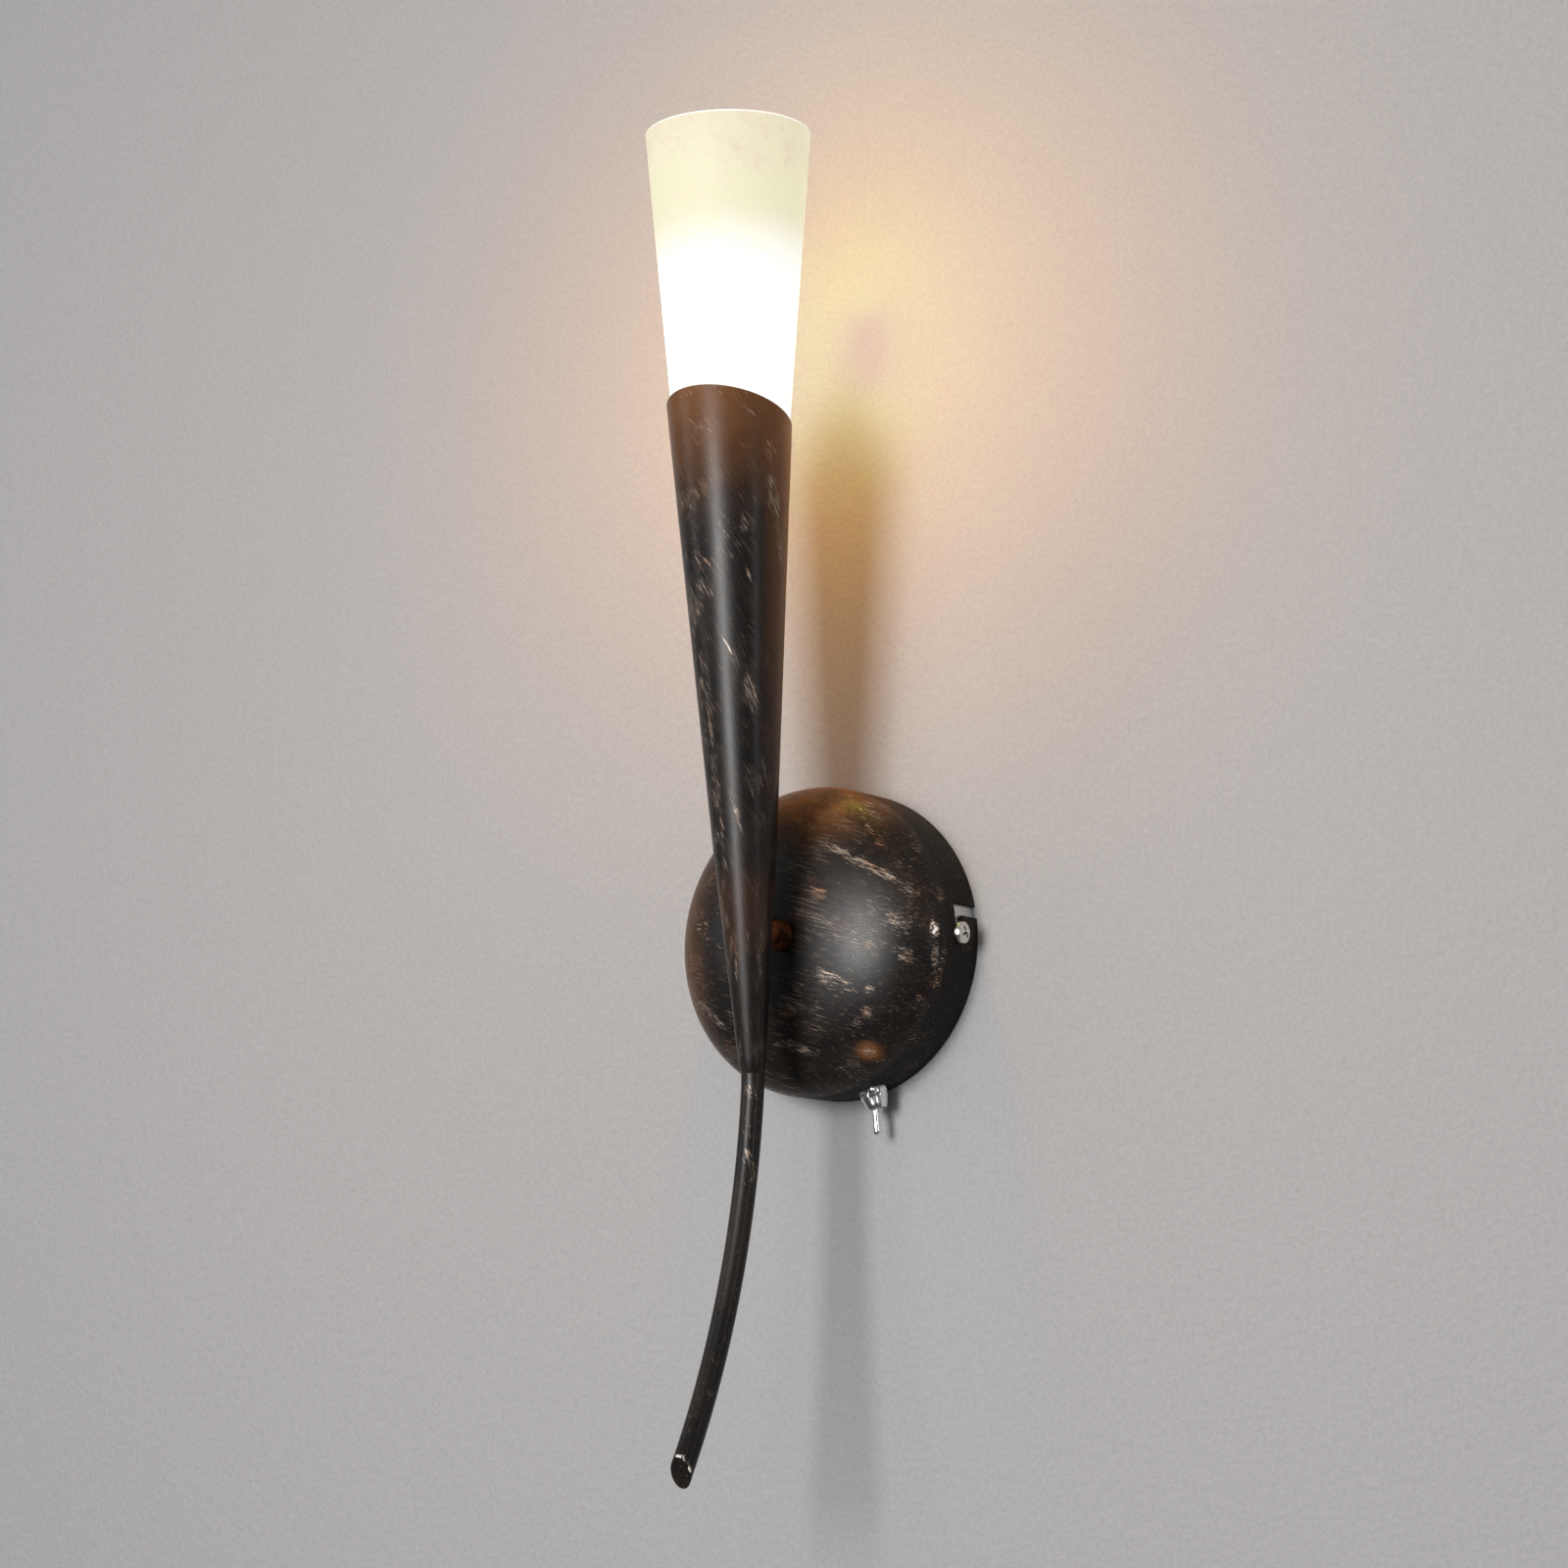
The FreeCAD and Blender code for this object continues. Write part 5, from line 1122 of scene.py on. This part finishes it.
class SCONCE_OT_shade(bpy.types.Operator):
    """Frosted glass cone of the light"""

    bl_idname = "sconce.shade"
    bl_label = "Glass shade"

    def execute(self, context):
        size = sizes()
        foot, flare = size.shade_foot, size.shade_mouth - size.shade_foot
        rings = 12
        parts = [part / rings for part in range(rings + 1)]
        outer = [(foot + flare * part, size.shade_length * part) for part in parts]
        inner = [(radius - size.shade_wall, height) for radius, height in reversed(outer)]
        mesh = spun(outer + inner, CONE_STEPS, closed=True)
        soften(mesh, 0.62 * MM, segments=4, degrees=45)
        nodes, place = ("glass_shade",), shade_frame()
        frost = lit_frost("frosted_glass")
        made = piece("shade_glass", mesh, place, frost, "shade", nodes, sharp=45)
        # The glow of the lamp reaches the wall through the glass.
        made.visible_shadow = False
        return {"FINISHED"}


class SCONCE_OT_screws(bpy.types.Operator):
    """Two pan head canopy screws with their cross recess"""

    bl_idname = "sconce.screws"
    bl_label = "Canopy screws"

    def execute(self, context):
        size = sizes()
        nickel = plated("nickel", colours().nickel, 0.13)
        whole = bmesh.new()
        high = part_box("canopy_screws")[1]
        for side in (1, -1):
            mesh = screw()
            spot = (side * (high.x - size.screw_tall), -size.slot_depth, 0)
            turn = Matrix.Rotation(side * math.pi / 2, 4, "Y")
            turn = turn @ Matrix.Rotation(size.recess_turn, 4, "Z")
            mesh.transform(Matrix.Translation(spot) @ turn)
            carried = as_data("carried", mesh)
            whole.from_mesh(carried)
            bpy.data.meshes.remove(carried)
        nodes = ("canopy_screws",)
        piece("side_screws", whole, Matrix(), nickel, "wall_bracket", nodes, sharp=30)
        return {"FINISHED"}


class SCONCE_OT_switch(bpy.types.Operator):
    """Chrome dress nut and bat lever of the switch"""

    bl_idname = "sconce.switch"
    bl_label = "Switch outside"

    def execute(self, context):
        size = sizes()
        chrome = plated("chrome", colours().chrome, 0.085, dull=0.05)
        ring = [(radius * MM, level * MM) for radius, level in NUT_PROFILE]
        mesh = spun(ring, 96, closed=True)
        # Six flats at the foot, and a fine knurl above them.
        for vert in mesh.verts:
            spread = vert.co.xy.length
            turn = math.atan2(vert.co.y, vert.co.x)
            sixth = math.fmod(turn + FULL_TURN, math.pi / 3) - math.pi / 6
            if vert.co.z < 2.22 * MM and spread > 3.5 * MM:
                vert.co.xy = vert.co.xy * min(1 / math.cos(sixth), 1.135)
            elif spread > 3.2 * MM and vert.co.z < 6.6 * MM:
                vert.co.xy = vert.co.xy * (1 + 0.035 * math.cos(12 * turn))
        nodes = ("switch_dress_nut",)
        piece("dress_nut", mesh, switch_frame(), chrome, "lamp", nodes, sharp=24)
        tip = size.lever_length / MM
        stem = [(0, -1.72), (0.90, -1.50), (1.52, -0.86), (1.75, 0), (1.52, 0.86), (1.12, 1.45)]
        stem += [(1.10, 2.40), (1.33, tip - 1.60), (1.22, tip - 0.75), (0.80, tip - 0.18), (0, tip)]
        lever = spun([(radius * MM, level * MM) for radius, level in stem], ROD_STEPS)
        place = switch_frame(size.lever_pivot, size.lever_tilt)
        piece("lever_bat", lever, place, chrome, "lever", ("switch_lever",), sharp=50)
        return {"FINISHED"}


class SCONCE_OT_bracket(bpy.types.Operator):
    """Zinc finish of the wall bracket, terminal strap, holder plate and toothed washer"""

    bl_idname = "sconce.bracket"
    bl_label = "Sheet metal"

    def execute(self, context):
        zinc = plated("zinc_sheet", colours().zinc, 0.26, brushed=True, dull=0.22)
        dress(zinc, "bracket_bar", "terminal_strap", "holder_plate", "arm_tooth_washer")
        return {"FINISHED"}


class SCONCE_OT_fasteners(bpy.types.Operator):
    """Nickel, brass and tinned finishes of nuts, screws and terminals"""

    bl_idname = "sconce.fasteners"
    bl_label = "Nuts and terminals"

    def execute(self, context):
        tints = colours()
        satin = plated("nickel_satin", tints.nickel, 0.22)
        brass = plated("brass", tints.brass, 0.20, dull=0.25)
        tinned = plated("tinned", tints.tin, 0.30, dull=0.2)
        slots = {"nickel": satin, "brass": brass, "tinned": tinned}
        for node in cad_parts.values():
            for index, given in enumerate(node.data.materials):
                finish = slots.get(given.name.split(".")[0]) if given is not None else None
                if finish is not None:
                    node.data.materials[index] = finish
        dress(satin, "arm_lock_nut", "switch_bushing", "switch_inner_nut")
        return {"FINISHED"}


class SCONCE_OT_mouldings(bpy.types.Operator):
    """Plastic, silicone and ceramic finishes"""

    bl_idname = "sconce.mouldings"
    bl_label = "Mouldings"

    def execute(self, context):
        tints = colours()
        dress(moulded("white_plastic", tints.white_plastic, 0.38), "terminal_housing", "wire_bush")
        dress(moulded("red_plastic", tints.red_plastic, 0.36, coat=0.1), "switch_body")
        dress(moulded("silicone", tints.silicone, 0.55, 0.0004), "cushion_ring")
        dress(moulded("white_ceramic", tints.ceramic, 0.22, 0.0016, coat=0.4), "lamp_holder")
        return {"FINISHED"}


class SCONCE_OT_wires(bpy.types.Operator):
    """Insulation colours of the inner wires"""

    bl_idname = "sconce.wires"
    bl_label = "Wires"

    def execute(self, context):
        tints = colours()
        dress(insulated("brown_wire", tints.brown_wire), "wire_lamp_live", "wire_switch_feed")
        dress(insulated("blue_wire", tints.blue_wire), "wire_lamp_neutral")
        dress(insulated("green_wire", tints.green_wire, tints.yellow_wire), "wire_earth")
        return {"FINISHED"}


class SCONCE_OT_lamp(bpy.types.Operator):
    """Clear glass and filament of the capsule lamp"""

    bl_idname = "sconce.lamp"
    bl_label = "Lamp"

    def execute(self, context):
        dress(clear_glass("clear_glass"), "bulb_envelope")
        dress(plated("tungsten", colours().tungsten, 0.35), "bulb_filament")
        return {"FINISHED"}


class SCONCE_OT_stage(bpy.types.Operator):
    """Pale wall and floor, soft studio light and the camera"""

    bl_idname = "sconce.stage"
    bl_label = "Stage"

    def execute(self, context):
        scene = context.scene
        scene.view_settings.view_transform = "Standard"
        self.wall()
        self.floor()
        self.lights(scene)
        self.camera(scene)
        return {"FINISHED"}

    @staticmethod
    def plane(name, matrix, mesh, material):
        """A flat piece of the stage."""
        mesh.transform(matrix)
        made = added(name, as_data(name, mesh))
        made.data.materials.append(material)

    def wall(self):
        """A painted wall that only the room's side shows, open behind the canopy."""
        recipe = Recipe("wall_paint")
        where = recipe.place()
        grain = recipe.noise(where, 0.0035, detail=3.0, roughness=0.55)
        tone = colours().wall
        speckle = recipe.noise(where, 0.0016, detail=3.0, roughness=0.7)
        body = recipe.mix(recipe.step(speckle, 0.3, 0.7), tone, scaled(tone, 0.90))
        relief = recipe.bump(grain, 0.0006, 0.9)
        paint = recipe.shader(
            Base_Color=body, Roughness=0.75, Specular_IOR_Level=0.2, Normal=relief
        )
        clear = recipe.node("ShaderNodeBsdfTransparent")
        back = recipe.node("ShaderNodeNewGeometry", output="Backfacing")
        both = recipe.node("ShaderNodeMixShader", inputs={0: back, 1: paint, 2: clear})
        recipe.node("ShaderNodeOutputMaterial", inputs={"Surface": both})
        mesh = bmesh.new()
        for radius in (3.0, sizes().wall_opening):
            bmesh.ops.create_circle(mesh, segments=64, radius=radius)
        bmesh.ops.bridge_loops(mesh, edges=mesh.edges[:])
        for face in mesh.faces:
            if face.normal.z < 0:
                face.normal_flip()
        place = Matrix.Translation((0, 0.2 * MM, 0)) @ WALL_FRAME
        self.plane("stage_wall", place, mesh, recipe.material)

    def floor(self):
        """A pale floor, well below the sconce."""
        recipe = Recipe("floor_paint")
        tone = colours().wall
        clouds = recipe.noise(recipe.place(), 0.3, detail=2.0)
        body = recipe.mix(clouds, tone, scaled(tone, 1.06))
        recipe.finish(Base_Color=body, Roughness=0.8)
        mesh = bmesh.new()
        bmesh.ops.create_grid(mesh, x_segments=2, y_segments=2, size=6.0)
        self.plane("stage_floor", Matrix.Translation((0, 0, -1.6)), mesh, recipe.material)

    def lights(self, scene):
        """Two frontal softboxes, a strip, a fill, one behind the wall, and the lamp's glow."""
        world = bpy.data.worlds.new("studio")
        world.use_nodes = True
        sky = world.node_tree.nodes["Background"]
        sky.inputs["Color"].default_value = (0.93, 0.96, 1.0, 1)
        sky.inputs["Strength"].default_value = 0.20
        scene.world = world
        for row in SOFTBOXES:
            self.softbox(*row)
        for row in GLOWS:
            self.glow(*row)

    @staticmethod
    def light(name, kind, spot, power, tint):
        """A light of the stage."""
        made = added(name, bpy.data.lights.new(name, kind))
        made.data.energy = power
        made.data.color = tint
        made.location = spot
        return made

    def glow(self, name, spot, power, tint):
        """Light of the lamp on the wall, counted in the shade's own frame."""
        made = self.light(name, "POINT", shade_frame() @ Vector(spot), power, tint)
        made.data.shadow_soft_size = 10 * MM

    def softbox(self, name, spot, target, size, power, tint):
        """An area light that faces a target."""
        made = self.light(name, "AREA", spot, power, tint)
        made.data.shape = "RECTANGLE"
        made.data.size, made.data.size_y = size
        aim = Vector(target) - Vector(spot)
        made.rotation_euler = aim.to_track_quat("-Z", "Y").to_euler()

    @staticmethod
    def camera(scene):
        """The camera, as fitted to the photo's outlines."""
        data = bpy.data.cameras.new("photo")
        data.sensor_width = 36
        data.lens = CAMERA_LENS
        data.clip_start, data.clip_end = 0.02, 50
        turn = Matrix(CAMERA_AXES).transposed()
        made = added("photo", data)
        made.matrix_world = Matrix.Translation(CAMERA_PLACE) @ turn.to_4x4()
        scene.camera = made


class SCONCE_PT_panel(bpy.types.Panel):
    """Sidebar panel that lists the sconce's builders"""

    bl_label = "Torch Sconce"
    bl_idname = "SCONCE_PT_panel"
    bl_space_type = "VIEW_3D"
    bl_region_type = "UI"
    bl_category = "Sconce"

    def draw(self, context):
        """One button for each builder, then the settings."""
        for builder in BUILDERS:
            self.layout.operator(builder.bl_idname)
        for group in (context.scene.sconce_sizes, context.scene.sconce_colours):
            column = self.layout.column(align=True)
            for name in group.__annotations__:
                column.prop(group, name)


BUILDERS = (
    SCONCE_OT_canopy,
    SCONCE_OT_arm,
    SCONCE_OT_torch,
    SCONCE_OT_tail,
    SCONCE_OT_shade,
    SCONCE_OT_screws,
    SCONCE_OT_switch,
    SCONCE_OT_bracket,
    SCONCE_OT_fasteners,
    SCONCE_OT_mouldings,
    SCONCE_OT_wires,
    SCONCE_OT_lamp,
    SCONCE_OT_stage,
)
CLASSES = (SconceSizes, SconceColours, *BUILDERS, SCONCE_PT_panel)


def register():
    """Add the settings, the builders and the panel."""
    for item in CLASSES:
        bpy.utils.register_class(item)
    bpy.types.Scene.sconce_sizes = PointerProperty(type=SconceSizes)
    bpy.types.Scene.sconce_colours = PointerProperty(type=SconceColours)


def unregister():
    """Take the settings, the builders and the panel away again."""
    del bpy.types.Scene.sconce_colours
    del bpy.types.Scene.sconce_sizes
    for item in reversed(CLASSES):
        bpy.utils.unregister_class(item)


def main():
    """Build everything in order."""
    register()
    for builder in BUILDERS:
        group, name = builder.bl_idname.split(".")
        getattr(getattr(bpy.ops, group), name)()


if __name__ == "__main__":
    main()
